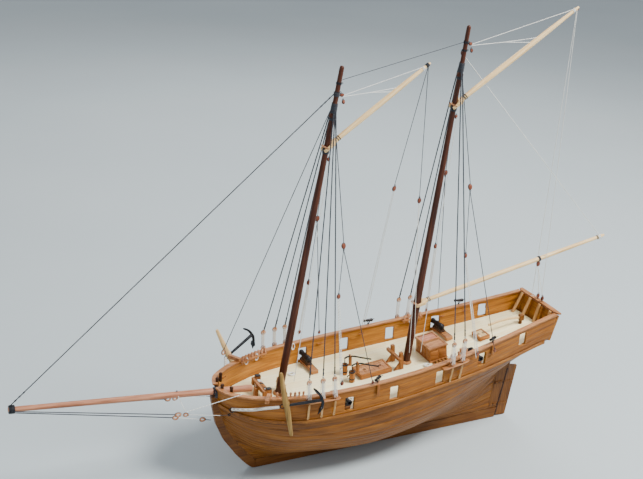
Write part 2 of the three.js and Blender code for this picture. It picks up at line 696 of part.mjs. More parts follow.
function carronades() {
  const barrelZ = 7.4;
  for (const [where, x] of Object.entries(GUN_X)) {
    for (const [name, side] of SIDES) {
      const y = railPoint(x).y - BULWARK - 0.8;
      // Drawn with the muzzle towards +Y and the bulwark's inner face at y = 0.
      const profile = [
        [0, -15.6], [1.1, -15.2], [0.8, -14.2], [2.6, -12.8], [2.6, -10.2], [2.2, -3], [1.95, 1], [2.4, 1.6],
        [2.4, 2.8], [1.3, 2.8], [1.3, -6], [0, -6],
      ];
      const barrel = turned(profile, [0, 0, barrelZ], [0, 1, 0], 10);
      const bed = block(-2.1, 2.1, -15, -0.6, 3.3, 4.9);
      const lug = block(-0.9, 0.9, -9, -5, 4.6, 6.2);
      const slide = join([
        block(-3, 3, -25, -0.4, 1.2, 3),
        block(-3, 3, -25, -22, 0, 1.6),
        block(-3, 3, -4, -1, 0, 1.6),
      ]);
      const lean = Math.atan2(deckTop(x, 18) - deckTop(x, y), y - 18);
      const place = (body) => {
        const tilted = body.rotate([THREE.MathUtils.radToDeg(-lean), 0, 0]);
        const set = onDeck(tilted, x, 0).translate([0, y, deckTop(x, y) - deckTop(x)]);
        return side > 0 ? set : set.mirror([0, 1, 0]);
      };
      piece(`carronade_${where}_${name}`, place(join([barrel, bed, lug])), BRONZE, 0.7);
      piece(`gun_slide_${where}_${name}`, place(slide), WOOD.rail);
    }
  }
}

// ---------- spars ----------

function mastX(mast, z) {
  const t = (z - mast.foot[1]) / (mast.head[1] - mast.foot[1]);
  return mast.foot[0] + (mast.head[0] - mast.foot[0]) * t;
}

function mastRadius(mast, z) {
  const t = Math.max(0, (z - 120) / (mast.head[1] - 120));
  return mast.rFoot + (mast.rHead - mast.rFoot) * t;
}

const mastPoint = (mast, z, y = 0) => [mastX(mast, z), y, z];
const mastAxis = (mast) => [mast.head[0] - mast.foot[0], 0, mast.head[1] - mast.foot[1]];

// A mast with its hounds and bands turned on it, and a truck on top.
function mast(name, spec, hounds, bands) {
  const length = Math.hypot(...mastAxis(spec));
  const scale = length / (spec.head[1] - spec.foot[1]);
  const bulge = (z, high, out) => [[z, 0], [z + 0.05, out], [z + high, out], [z + high + 0.05, 0]];
  const steps = [[spec.foot[1], 0], [120, 0], [200, 0], ...bulge(hounds - 4.4, 2.4, 0.8)];
  bands.forEach((z) => steps.push(...bulge(z, 1.5, 0.3)));
  const surface = steps.map(([z, out]) => [mastRadius(spec, z) + out, (z - spec.foot[1]) * scale]);
  const profile = [[0, 0], ...surface];
  profile.push([spec.rHead, length], [spec.rHead + 0.5, length + 0.1], [spec.rHead + 0.4, length + 1.2]);
  profile.push([0, length + 1.7]);
  piece(name, turned(profile, mastPoint(spec, spec.foot[1]), mastAxis(spec), 12), WOOD.mast);
}

function bowsprit() {
  const [x0, z0] = BOWSPRIT.heel;
  const [x1, z1] = BOWSPRIT.tip;
  const pole = rod([x0, 0, z0], [x1, 0, z1], BOWSPRIT.rHeel, BOWSPRIT.rTip, 14);
  piece('bowsprit', pole, WOOD.bowsprit);
}

// The jaws of a gaff or boom: a plate around the after half of the mast, drawn with +X along the spar.
function jaws(notch, clear, half) {
  const shape = new THREE.Shape();
  const end = -notch * 0.75;
  shape.moveTo(notch + 7, -1.4);
  shape.lineTo(notch + 7, 1.4);
  shape.lineTo(notch + 1, clear + 1.5);
  shape.lineTo(end, clear + 1.1);
  shape.lineTo(end, clear);
  shape.lineTo(0, clear);
  shape.absellipse(0, 0, notch, clear, Math.PI / 2, -Math.PI / 2, true, 0);
  shape.lineTo(end, -clear);
  shape.lineTo(end, -clear - 1.1);
  shape.lineTo(notch + 1, -clear - 1.5);
  const plate = new THREE.ExtrudeGeometry(shape, { depth: half * 2, bevelEnabled: false, curveSegments: 6 });
  plate.translate(0, 0, -half);
  return plate;
}

// A gaff or boom: a tapered pole with jaws that clasp the mast.
function swingingSpar(name, spec, mastSpec, color) {
  const half = 1.2;
  const centre = new THREE.Vector3(...mastPoint(mastSpec, spec.throat));
  const outer = new THREE.Vector3(spec.peak[0], 0, spec.peak[1]);
  const along = outer.clone().sub(centre).normalize();
  const up = new THREE.Vector3(...mastAxis(mastSpec)).normalize();
  const tilt = Math.PI / 2 - along.angleTo(up);
  const clear = mastRadius(mastSpec, spec.throat) + 0.45;
  const notch = clear / Math.cos(tilt) + half * Math.abs(Math.tan(tilt));
  const plate = jaws(notch, clear, half);
  const normal = new THREE.Vector3(along.z, 0, -along.x);
  plate.applyMatrix4(new THREE.Matrix4().makeBasis(along, normal.clone().cross(along), normal));
  plate.translate(centre.x, centre.y, centre.z);
  const from = centre.clone().addScaledVector(along, notch + 1);
  const rMid = spec.rThroat * 1.06;
  const length = from.distanceTo(outer);
  const end = length * 0.97;
  const profile = [
    [0, 0], [spec.rThroat * 0.9, 0], [rMid, length * 0.3],
    [spec.rPeak + 0.05, end], [spec.rPeak + 0.4, end + 0.05],
    [spec.rPeak + 0.4, end + 1.2], [spec.rPeak, end + 1.25], [spec.rPeak, length], [0, length],
  ];
  const pole = turned(profile, from.toArray(), along.toArray(), 10);
  piece(name, join([solid(plate), pole]), color);
}

// ---------- channels and shrouds ----------

const CHANNELS = {
  fore: { from: 178, to: 205, below: 2.9, deadeyes: [203, 192.5, 182.5], upper: [203.6, 193, 183.8], rise: 16.5 },
  main: { from: 62.5, to: 87.5, below: 2.9, deadeyes: [79, 69.5], upper: [79.2, 68.8], rise: 18.5 },
};
const CHANNEL = { wide: 4.6, thick: 1.1 };

function channelZ(spec, x) {
  return railPoint(x).z - spec.below;
}

const deadeyeY = (spec, x) => sideAt(x, channelZ(spec, x)) + GAP + CHANNEL.wide - 1.4;

function channels() {
  for (const [mastName, spec] of Object.entries(CHANNELS)) {
    const xs = steps(spec.from, spec.to, 5);
    const edge = (x, out, dz) => {
      const z = channelZ(spec, x);
      return new THREE.Vector3(x, sideAt(x, z) + GAP + out, z + dz);
    };
    const reach = (i) => (i % 5 ? CHANNEL.wide : CHANNEL.wide - 1);
    const face = (dz) => xs.map((x, i) => [0, reach(i)].map((out) => edge(x, out, dz)));
    const parts = [slab(face(0), face(-CHANNEL.thick))];
    for (const x of spec.deadeyes) {
      const z = channelZ(spec, x);
      const y = deadeyeY(spec, x);
      const low = railPoint(x).z - 18.2;
      const eye = [x, y, z + DEADEYE.r + 0.3];
      const half = DEADEYE.thick / 2;
      parts.push(rod([x, y - half, eye[2]], [x, y + half, eye[2]], DEADEYE.r, DEADEYE.r, 8));
      parts.push(rod([x, y, eye[2]], [x + 0.1, y + 0.9, z - 2], 0.5, 0.5, 5));
      parts.push(rod([x + 0.1, y + 0.9, z - 1.4], [x - 1, sideAt(x - 1, low) + 0.95, low], 0.5, 0.5, 5));
    }
    const body = join(parts);
    piece(`channel_${mastName}_port`, body, WOOD.rail);
    piece(`channel_${mastName}_starboard`, body.mirror([0, 1, 0]), WOOD.rail);
  }
}

function shrouds(mastName, mastSpec, hounds) {
  const spec = CHANNELS[mastName];
  SIDES.forEach(([name, side], i) => {
    const z = hounds + i * 2.1;
    const r = mastRadius(mastSpec, z);
    const axis = mastAxis(mastSpec);
    const reach = r + 0.9 + i;
    const parts = [ring(mastPoint(mastSpec, z), axis, r + 0.35, reach + 0.4, 1.7, 12)];
    spec.deadeyes.forEach((x, k) => {
      const low = channelZ(spec, x) + 2 * DEADEYE.r + 0.3 + GAP;
      const yLow = deadeyeY(spec, x) * side;
      const top = [mastX(mastSpec, z) + 0.9 - k * 0.9, reach * side, z];
      const eye = [spec.upper[k], yLow * 0.985, channelZ(spec, x) + spec.rise];
      const [ex, ey, ez] = eye;
      const half = DEADEYE.thick / 2;
      parts.push(rod(top, eye, ROPE.shroud, ROPE.shroud, 5));
      parts.push(rod([ex, ey - half, ez], [ex, ey + half, ez], DEADEYE.r, DEADEYE.r, 8));
      for (const dx of [-1.1, 0, 1.1]) {
        const drop = dx === 0 ? 0 : 0.5;
        parts.push(rod([eye[0] + dx, eye[1], eye[2]], [x + dx, yLow, low - drop], ROPE.lanyard, ROPE.lanyard, 4));
      }
    });
    piece(`shrouds_${mastName}_${name}`, join(parts), ROPE_BLACK);
  });
}

// ---------- stays and halyards ----------

function forestay() {
  const z = FORE_HOUNDS + 12.6;
  const r = mastRadius(FOREMAST, z);
  const collar = ring(mastPoint(FOREMAST, z), mastAxis(FOREMAST), r + 0.35, r + 1.25, 1.5, 10);
  const [x, tip] = BOWSPRIT.tip;
  const end = [x - 2.3, 0, tip + BOWSPRIT.rTip + 1.6];
  const line = rod([mastX(FOREMAST, z) + r + 0.8, 0, z], end, ROPE.stay, ROPE.stay, 6);
  piece('forestay', join([collar, line]), ROPE_BLACK);
}

function triaticStay() {
  const zMain = 332.4;
  const zFore = 309;
  const rMain = mastRadius(MAINMAST, zMain);
  const rFore = mastRadius(FOREMAST, zFore);
  const parts = [
    ring(mastPoint(MAINMAST, zMain), mastAxis(MAINMAST), rMain + 0.35, rMain + 1.15, 1.2, 10),
    ring(mastPoint(FOREMAST, zFore), mastAxis(FOREMAST), rFore + 0.35, rFore + 1.15, 1.2, 10),
    rod(
      [mastX(MAINMAST, zMain) + rMain + 0.7, 0, zMain],
      [mastX(FOREMAST, zFore) - rFore - 0.7, 0, zFore],
      0.35, 0.35, 6,
    ),
  ];
  piece('triatic_stay', join(parts), ROPE_BLACK);
}

// The iron cap on the bowsprit's end, with the bobstay and the two bowsprit shrouds that are set up to it.
function bowspritRigging() {
  const [x, z] = BOWSPRIT.tip;
  const axis = [BOWSPRIT.tip[0] - BOWSPRIT.heel[0], 0, BOWSPRIT.tip[1] - BOWSPRIT.heel[1]];
  const parts = [
    ring([x - 2.2, 0, z - 0.2], axis, BOWSPRIT.rTip + GAP, BOWSPRIT.rTip + 1.3, 4.2, 12),
    rope([[x - 2.4, 0, z - 2.9], [291.5, 0, 57.4], [263.4, 0, 49.6]], ROPE.stay, 5),
    ball([291.5, 0, 57.4], 1.3),
    ball([270.5, 0, 51.6], 1.3),
  ];
  for (const side of [1, -1]) {
    const hook = 253;
    const y = (sideAt(hook, 61) + 0.9) * side;
    parts.push(rope([[x - 2.4, 2.7 * side, z - 0.4], [293.5, 12.2 * side, 67.2], [hook, y, 60.4]], 0.42, 5));
    parts.push(ball([293.5, 12.2 * side, 67.2], 1.4));
    parts.push(ball([288, 12.6 * side, 66.3], 1.3));
  }
  piece('bowsprit_rigging', join(parts), ROPE_BLACK);
}

// A peak halyard: a block abaft the masthead and its parts down to the gaff.
function peakHalyard(name, mastSpec, gaff, height, spread) {
  const r = mastRadius(mastSpec, height);
  const start = [mastX(mastSpec, height) - r - 3.1, 0, height];
  const throat = new THREE.Vector3(...mastPoint(mastSpec, gaff.throat));
  const peak = new THREE.Vector3(gaff.peak[0], 0, gaff.peak[1]);
  const parts = [ball(start, 1.5)];
  for (const t of spread) {
    const p = throat.clone().lerp(peak, t);
    const rGaff = gaff.rThroat * 1.06 + (gaff.rPeak - gaff.rThroat) * t;
    parts.push(rod(start, [p.x, 0, p.z + rGaff + 0.75], ROPE.halyard, ROPE.halyard, 6));
  }
  piece(name, join(parts), ROPE_WHITE);
}

function toppingLift() {
  const z = 323.4;
  const r = mastRadius(MAINMAST, z);
  const top = [mastX(MAINMAST, z) - 1.2, -r - 2.4, z];
  const end = [MAIN_BOOM.peak[0] + 6.5, -0.2, MAIN_BOOM.peak[1] + 0.6];
  const parts = [ball(top, 1.3), rod(top, [end[0], end[1], end[2] + 0.9], ROPE.halyard, ROPE.halyard, 6)];
  piece('topping_lift', join(parts), ROPE_WHITE);
}

// ---------- anchors ----------

const ANCHOR = { x: 219.5, z: 78, y: 42.5, crownY: 51.5, shank: 26 };

// Drawn on the port side in the X-Z plane with the shank's ring end at the origin, then swung out to clear
// the channel.
function anchors() {
  const stock = join([
    rod([1, 0, -1.5], [5.5, 0, 26], 1.9, 1.1, 6),
    rod([1, 0, 1.5], [-3.5, 0, -27], 1.9, 1.1, 6),
  ]);
  const shank = rod([2.5, 0, -1.4], [-ANCHOR.shank, 0, 3.4], 0.95, 0.95, 6);
  const arms = flatBar([[-19.6, 12], [-22.4, 9.4], [-24.8, 5.6], [-26, 1], [-25.6, -3], [-23.6, -7]], 2, 0.9);
  const palms = [[-20.8, 10.4, -45], [-24.3, -4.8, 70]].map(([x, z, turn]) => {
    return block(-2.2, 2.2, -1.9, 1.9, -0.7, 0.7).rotate([0, turn, 0]).translate([x, 0, z]);
  });
  const eye = ring([3.8, 0, -1.8], [0, 1, 0], 0.7, 1.7, 0.8, 6);
  const yaw = Math.atan2(ANCHOR.crownY - ANCHOR.y, ANCHOR.shank);
  const body = join([stock, shank, arms, ...palms, eye]).rotate([0, 0, -THREE.MathUtils.radToDeg(yaw)]);
  const port = body.translate([ANCHOR.x, ANCHOR.y, ANCHOR.z]);
  piece('anchor_port', port, IRON, 0.6);
  // The starboard anchor hangs further forward, from its cathead, with its crown triced up.
  const tilted = body.mirror([0, 1, 0]).rotate([0, 14, 0]);
  const hung = tilted.translate([ANCHOR.x + 14, -ANCHOR.y + 1, ANCHOR.z + 3]);
  piece('anchor_starboard', hung, IRON, 0.6);
}

// ---------- assembly ----------

keel();
stem();
sternpost();
planking();
bulwarks();
deck();
capRails();
wales();
transom();
taffrail();
bulkheads();
spine();
rudder();
tiller();
mainHatch();
aftHatch();
companion();
mainBitts();
windlass();
pumps();
carronades();
mast('foremast', FOREMAST, FORE_HOUNDS, [300.5, 312.5]);
mast('mainmast', MAINMAST, MAIN_HOUNDS, [327, 337]);
bowsprit();
swingingSpar('fore_gaff', FORE_GAFF, FOREMAST, WOOD.spar);
swingingSpar('main_gaff', MAIN_GAFF, MAINMAST, WOOD.spar);
swingingSpar('main_boom', MAIN_BOOM, MAINMAST, WOOD.spar);
channels();
shrouds('fore', FOREMAST, FORE_HOUNDS);
shrouds('main', MAINMAST, MAIN_HOUNDS);
forestay();
triaticStay();
bowspritRigging();
peakHalyard('fore_peak_halyard', FOREMAST, FORE_GAFF, 297.3, [0.64, 0.69, 0.93]);
peakHalyard('main_peak_halyard', MAINMAST, MAIN_GAFF, 330.5, [0.62, 0.67, 0.96]);
toppingLift();
anchors();

ship.position.x = -ORIGIN_X;

export default ship;
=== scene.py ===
import math
import random

import bmesh
import bpy
import numpy as np
from mathutils import Matrix, Vector


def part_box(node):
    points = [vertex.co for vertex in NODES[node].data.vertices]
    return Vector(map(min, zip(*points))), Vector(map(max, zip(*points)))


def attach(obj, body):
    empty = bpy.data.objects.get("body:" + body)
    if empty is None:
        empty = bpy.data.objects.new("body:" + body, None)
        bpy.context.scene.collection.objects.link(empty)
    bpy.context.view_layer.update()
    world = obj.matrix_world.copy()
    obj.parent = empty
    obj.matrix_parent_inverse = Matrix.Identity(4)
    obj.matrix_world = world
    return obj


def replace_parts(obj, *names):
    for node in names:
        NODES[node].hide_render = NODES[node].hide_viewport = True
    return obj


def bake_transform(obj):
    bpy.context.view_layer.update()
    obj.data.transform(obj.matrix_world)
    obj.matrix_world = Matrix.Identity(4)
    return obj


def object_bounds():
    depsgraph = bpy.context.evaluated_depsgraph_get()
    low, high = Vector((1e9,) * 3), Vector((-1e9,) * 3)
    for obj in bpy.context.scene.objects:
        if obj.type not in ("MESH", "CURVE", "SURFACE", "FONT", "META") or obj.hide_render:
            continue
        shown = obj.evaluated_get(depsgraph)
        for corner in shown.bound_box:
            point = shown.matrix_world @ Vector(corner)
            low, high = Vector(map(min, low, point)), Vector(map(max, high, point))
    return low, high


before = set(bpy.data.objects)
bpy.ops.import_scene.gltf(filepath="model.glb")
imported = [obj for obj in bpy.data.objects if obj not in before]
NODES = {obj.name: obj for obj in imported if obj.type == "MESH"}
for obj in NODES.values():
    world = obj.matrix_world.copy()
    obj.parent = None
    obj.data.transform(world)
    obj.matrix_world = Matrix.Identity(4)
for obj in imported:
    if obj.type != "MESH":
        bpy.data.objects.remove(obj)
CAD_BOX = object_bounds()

random.seed(7)

# ---------- units ----------
# Shapes are drawn in ship millimetres: x from the aft end of the keel, y to port, z up from the keel's underside.
# The frame's origin is 112 mm along the keel.
MM = 0.001
ORIGIN_X = 112.0
SIDES = (("port", 1), ("starboard", -1))
ACROSS, UP = (0, 1, 0), (0, 0, 1)


def at(p):
    return Vector(((p[0] - ORIGIN_X) * MM, p[1] * MM, p[2] * MM))


def add_to_scene(obj):
    bpy.context.scene.collection.objects.link(obj)
    return obj


def circle(steps, turns=1):
    """The angles round a circle, both ends included."""
    return [2 * math.pi * k / steps for k in range(steps * turns + 1)]


def ship_box(node):
    return [Vector((v.x / MM + ORIGIN_X, v.y / MM, v.z / MM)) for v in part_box(node)]


# ---------- camera, floor and light ----------

CAMERA_PLACE = (0.4063, 0.6747, 0.4826)
AZIMUTH, ELEVATION, ROLL = math.radians(63.4), math.radians(21.2), math.radians(3.4)


def camera():
    level = math.cos(ELEVATION)
    back = Vector((math.cos(AZIMUTH) * level, math.sin(AZIMUTH) * level, math.sin(ELEVATION)))
    right = Vector((-math.sin(AZIMUTH), math.cos(AZIMUTH), 0))
    up = back.cross(right)
    x = right * math.cos(ROLL) + up * math.sin(ROLL)
    y = -right * math.sin(ROLL) + up * math.cos(ROLL)
    data = bpy.data.cameras.new("camera")
    data.lens, data.sensor_width = 60.6, 36
    data.shift_x, data.shift_y = 0.0034, -0.0039
    data.clip_start, data.clip_end = 0.05, 50
    obj = add_to_scene(bpy.data.objects.new("camera", data))
    obj.matrix_world = Matrix.Translation(CAMERA_PLACE) @ Matrix((x, y, back)).transposed().to_4x4()
    bpy.context.scene.camera = obj


def area_light(name, place, target, size, power, tint):
    data = bpy.data.lights.new(name, "AREA")
    data.shape, data.size = "DISK", size
    data.energy, data.color = power, tint
    obj = add_to_scene(bpy.data.objects.new(name, data))
    obj.location = place
    obj.rotation_euler = (Vector(target) - Vector(place)).to_track_quat("-Z", "Y").to_euler()


FLOOR_GAP = 0.0002


def studio():
    world = bpy.data.worlds.new("studio")
    bpy.context.scene.world = world
    world.use_nodes = True
    sky = world.node_tree.nodes["Background"]
    sky.inputs["Color"].default_value = (0.93, 0.96, 1.0, 1)
    sky.inputs["Strength"].default_value = 0.52
    area_light("key", (-0.62, 0.55, 1.35), (0, 0, 0.1), 0.55, 42, (1, 0.97, 0.92))
    area_light("fill", (0.9, 1.2, 0.8), (0, 0, 0.1), 0.9, 4, (0.95, 0.97, 1))
    area_light("rim", (-0.4, -1.1, 1.0), (0, 0, 0.15), 0.8, 7, (1, 0.99, 0.96))
    mesh = bpy.data.meshes.new("floor")
    low = CAD_BOX[0][2] - FLOOR_GAP
    half = 6
    corners = [(-half, -half, low), (half, -half, low), (half, half, low), (-half, half, low)]
    mesh.from_pydata(corners, [], [(0, 1, 2, 3)])
    floor = add_to_scene(bpy.data.objects.new("floor", mesh))
    paper, tree, shader = shader_tree("floor_paper")
    tint = noise(tree, coords(tree, "Object"), 3, 4, 0.5)
    color(tree, shader, ramp(tree, tint, [(0.3, (0.47, 0.545, 0.585)), (0.7, (0.50, 0.575, 0.61))]))
    shader.inputs["Roughness"].default_value = 0.8
    mesh.materials.append(paper)


# ---------- materials ----------

def shader_tree(name):
    mat = bpy.data.materials.new(name)
    mat.use_nodes = True
    tree = mat.node_tree
    tree.nodes.clear()
    out = tree.nodes.new("ShaderNodeOutputMaterial")
    shader = tree.nodes.new("ShaderNodeBsdfPrincipled")
    tree.links.new(shader.outputs[0], out.inputs[0])
    return mat, tree, shader


def coords(tree, kind, scale=(1, 1, 1)):
    source = tree.nodes.new("ShaderNodeTexCoord")
    mapping = tree.nodes.new("ShaderNodeMapping")
    mapping.inputs["Scale"].default_value = scale
    tree.links.new(source.outputs[kind], mapping.inputs["Vector"])
    return mapping.outputs[0]


def noise(tree, vector, scale, detail=4, rough=0.55, distortion=0.0):
    node = tree.nodes.new("ShaderNodeTexNoise")
    for socket, value in (("Scale", scale), ("Detail", detail), ("Roughness", rough), ("Distortion", distortion)):
        node.inputs[socket].default_value = value
    tree.links.new(vector, node.inputs["Vector"])
    return node.outputs["Fac"]


def white_noise(tree, value):
    node = tree.nodes.new("ShaderNodeTexWhiteNoise")
    node.noise_dimensions = "1D"
    tree.links.new(value, node.inputs["W"])
    return node.outputs[0]


def parts(tree, vector):
    node = tree.nodes.new("ShaderNodeSeparateXYZ")
    tree.links.new(vector, node.inputs[0])
    return node.outputs


def ramp(tree, value, stops):
    node = tree.nodes.new("ShaderNodeValToRGB")
    band = node.color_ramp
    while len(band.elements) < len(stops):
        band.elements.new(0.5)
    for element, (place, tone) in zip(band.elements, stops):
        element.position = place
        element.color = (*tone, 1)
    tree.links.new(value, node.inputs[0])
    return node.outputs[0]


def math_node(tree, how, a, b=None):
    node = tree.nodes.new("ShaderNodeMath")
    node.operation = how
    for socket, value in zip(node.inputs, (a, b)):
        if value is None:
            continue
        if isinstance(value, (int, float)):
            socket.default_value = value
        else:
            tree.links.new(value, socket)
    return node.outputs[0]


def times(tree, a, b):
    return math_node(tree, "MULTIPLY", a, b)


def plus(tree, a, b):
    return math_node(tree, "ADD", a, b)


def minus(tree, a, b):
    return math_node(tree, "SUBTRACT", a, b)


def from_middle(tree, value):
    """How far a value's fraction is from a half."""
    return math_node(tree, "ABSOLUTE", minus(tree, math_node(tree, "FRACT", value), 0.5))


def mix(tree, how, factor, a, b):
    node = tree.nodes.new("ShaderNodeMix")
    node.data_type = "RGBA"
    node.blend_type = how
    for socket, value in ((node.inputs[0], factor), (node.inputs[6], a), (node.inputs[7], b)):
        if isinstance(value, (int, float)):
            socket.default_value = value
        elif isinstance(value, tuple):
            socket.default_value = (*value, 1)
        else:
            tree.links.new(value, socket)
    return node.outputs[2]


def color(tree, shader, value):
    tree.links.new(value, shader.inputs["Base Color"])


def bump(tree, shader, height, strength, distance):
    node = tree.nodes.new("ShaderNodeBump")
    node.inputs["Strength"].default_value = strength
    node.inputs["Distance"].default_value = distance
    tree.links.new(height, node.inputs["Height"])
    tree.links.new(node.outputs[0], shader.inputs["Normal"])


def rgb(*screen):
    """A colour as seen on a screen, 0 to 255, as linear light."""
    shares = [c / 255 for c in screen]
    return tuple(c / 12.92 if c <= 0.04045 else ((c + 0.055) / 1.055) ** 2.4 for c in shares)


GRAIN = {"X": (1, 22, 22), "Y": (22, 1, 22), "Z": (22, 22, 1), "UV": (22, 1, 1)}


def wood(name, tones, grain="X", rough=0.42, coarse=1.0, coat=0.15, planks=None):
    """Oiled wood: long streaks, fine pores and a slow change of tone, along one axis.
    The dark, middle and light tones are given as seen on a screen."""
    mat, tree, shader = shader_tree(name)
    kind = "UV" if grain == "UV" else "Object"
    stretch = GRAIN[grain]
    streak = noise(tree, coords(tree, kind, stretch), 26 * coarse, 5, 0.62, 0.6)
    pores = noise(tree, coords(tree, kind, tuple(3 * s for s in stretch)), 42 * coarse, 3, 0.7)
    cloud = noise(tree, coords(tree, kind), 38, 3, 0.5)
    tone = plus(tree, times(tree, streak, 0.72), times(tree, cloud, 0.28))
    if planks:
        tone = plus(tree, tone, planks(tree))
    base = ramp(tree, tone, [(place, rgb(*t)) for place, t in zip((0.32, 0.5, 0.7), tones)])
    specks = ramp(tree, pores, [(0.3, (0.66, 0.62, 0.58)), (0.46, (1, 1, 1))])
    color(tree, shader, mix(tree, "MULTIPLY", 0.75, base, specks))
    dullness = ramp(tree, pores, [(0.25, (rough + 0.2,) * 3), (0.6, (rough,) * 3)])
    tree.links.new(dullness, shader.inputs["Roughness"])
    bump(tree, shader, plus(tree, pores, streak), 0.35, 0.00006)
    shader.inputs["Specular IOR Level"].default_value = 0.24
    shader.inputs["Coat Weight"].default_value = coat * 0.35
    shader.inputs["Coat Roughness"].default_value = 0.35
    return mat


def plank_tone(tree):
    """A tone for each plank, whose number is the whole part of the first texture coordinate."""
    number = math_node(tree, "FLOOR", parts(tree, coords(tree, "UV"))[0])
    return times(tree, minus(tree, white_noise(tree, number), 0.5), 0.1)


DECK_PLANK, DECK_BUTTS = 0.0038, 0.062  # a plank's width, and the gap between butts, in metres


def deck_wood(name):
    """Pale deck planks with dark seams, in the object's own coordinates."""
    mat, tree, shader = shader_tree(name)
    along, side, _ = parts(tree, coords(tree, "Object"))
    across = math_node(tree, "DIVIDE", side, DECK_PLANK)
    plank = math_node(tree, "FLOOR", across)
    shifted = plus(tree, math_node(tree, "DIVIDE", along, DECK_BUTTS), times(tree, plank, 0.37))
    seam = math_node(tree, "MAXIMUM", math_node(tree, "GREATER_THAN", from_middle(tree, across), 0.47),
                     math_node(tree, "GREATER_THAN", from_middle(tree, shifted), 0.4975))
    streak = noise(tree, coords(tree, "Object", GRAIN["X"]), 30, 5, 0.6, 0.5)
    tone = plus(tree, times(tree, streak, 0.7), times(tree, white_noise(tree, plank), 0.3))
    base = ramp(tree, tone, [(0.3, rgb(248, 230, 176)), (0.5, rgb(255, 244, 196)), (0.72, rgb(255, 251, 214))])
    color(tree, shader, mix(tree, "MIX", times(tree, seam, 0.3), base, rgb(150, 112, 66)))
    shader.inputs["Roughness"].default_value = 0.5
    bump(tree, shader, minus(tree, times(tree, streak, 0.3), seam), 0.4, 0.00008)
    return mat


def cordage(name, dark, light):
    """Laid cord: strands that wind round it, with a little fuzz."""
    mat, tree, shader = shader_tree(name)
    wave = tree.nodes.new("ShaderNodeTexWave")
    wave.bands_direction = "DIAGONAL"
    wave.inputs["Scale"].default_value = 620
    wave.inputs["Distortion"].default_value = 2.2
    tree.links.new(coords(tree, "Object"), wave.inputs["Vector"])
    fuzz = noise(tree, coords(tree, "Object"), 1500, 2)
    both = plus(tree, times(tree, wave.outputs["Fac"], 0.7), times(tree, fuzz, 0.3))
    color(tree, shader, ramp(tree, both, [(0.1, rgb(*dark)), (0.8, rgb(*light))]))
    shader.inputs["Roughness"].default_value = 0.85
    shader.inputs["Sheen Weight"].default_value = 0.3
    bump(tree, shader, both, 0.6, 0.00008)
    return mat


def metal(name, dark, light, rough, metallic):
    mat, tree, shader = shader_tree(name)
    mottle = noise(tree, coords(tree, "Object"), 420, 5, 0.65)
    fine = noise(tree, coords(tree, "Object"), 2100, 3)
    color(tree, shader, ramp(tree, mottle, [(0.3, rgb(*dark)), (0.72, rgb(*light))]))
    dullness = ramp(tree, fine, [(0.3, (rough - 0.1,) * 3), (0.7, (rough + 0.15,) * 3)])
    tree.links.new(dullness, shader.inputs["Roughness"])
    shader.inputs["Metallic"].default_value = metallic
    bump(tree, shader, fine, 0.25, 0.00005)
    return mat


camera()
studio()

RAIL_TONES = [(122, 72, 36), (168, 112, 66), (196, 144, 96)]
FITTING_TONES = [(106, 58, 22), (154, 96, 44), (186, 128, 70)]
MAT = {
    "hull": wood("hull_wood", [(84, 45, 9), (128, 76, 18), (156, 100, 32)], "UV", planks=plank_tone),
    "bulwark_out": wood("bulwark_outer_wood", [(104, 58, 14), (146, 88, 26), (172, 112, 42)], "UV", planks=plank_tone),
    "bulwark": wood("bulwark_wood", [(126, 74, 20), (170, 108, 34), (198, 138, 58)], "UV", planks=plank_tone),
    "keel": wood("keel_wood", [(70, 36, 8), (110, 64, 18), (142, 92, 34)]),
    "post": wood("post_wood", [(72, 38, 10), (114, 68, 20), (146, 94, 36)], "Z"),
    "stern": wood("stern_wood", [(116, 68, 20), (158, 100, 34), (188, 130, 56)], "Y"),
    "rail": wood("rail_wood", RAIL_TONES),
    "railY": wood("rail_wood_across", RAIL_TONES, "Y"),
    "wale": wood("wale_wood", [(96, 54, 14), (140, 86, 28), (172, 116, 48)]),
    "mast": wood("mast_wood", [(38, 15, 8), (72, 34, 19), (104, 58, 38)], "UV", rough=0.36, coat=0.25),
    "spar": wood("spar_wood", [(204, 160, 102), (238, 204, 148), (250, 228, 184)], "UV"),
    "bowsprit": wood("bowsprit_wood", [(124, 74, 50), (174, 116, 86), (204, 152, 122)], "UV"),
    "fitting": wood("fitting_wood", FITTING_TONES),
    "fittingY": wood("fitting_wood_across", FITTING_TONES, "Y"),
    "fittingZ": wood("fitting_wood_up", FITTING_TONES, "Z"),
    "ply": wood("ply_wood", [(170, 130, 84), (206, 172, 120), (226, 198, 150)], "Y"),
    "dead": wood("deadeye_wood", [(120, 70, 44), (186, 132, 96), (222, 178, 140)], "Z", coarse=1.5),
    "block": wood("block_wood", [(66, 32, 22), (122, 66, 48), (168, 106, 82)], "Z", coarse=1.5),
    # Dark wood for the knightheads, also used for the painted shadows under the bow wales and along the rudder's hinge.
    "dark": wood("dark_wood_and_painted_shadow", [(34, 18, 8), (58, 32, 14), (84, 50, 24)]),
    "tan": wood("chainplate_tan", [(150, 108, 60), (196, 150, 94), (222, 182, 128)], "Z"),
    "deck": deck_wood("deck_planks"),
    "black": cordage("tarred_cord", (10, 12, 18), (40, 46, 60)),
    "white": cordage("natural_cord", (196, 196, 190), (246, 246, 240)),
    "gunbed": wood("gun_bed_wood", [(44, 30, 24), (78, 56, 44), (108, 82, 66)], "Y"),
    "stock": wood("anchor_stock_wood", [(100, 74, 30), (156, 122, 66), (190, 158, 100)], "Z"),
    "brass": metal("shot_brass", (104, 66, 24), (178, 124, 62), 0.42, 0.6),
    "lidpanel": wood("lid_panel_wood", [(120, 66, 44), (172, 108, 82), (200, 140, 112)]),
    "cable": cordage("hemp_cable", (176, 170, 158), (238, 236, 228)),
    "iron": metal("blackened_iron", (16, 17, 20), (48, 50, 56), 0.46, 0.6),
    "bronze": metal("darkened_bronze", (18, 17, 18), (58, 54, 56), 0.4, 0.75),
}

# ---------- mesh building ----------

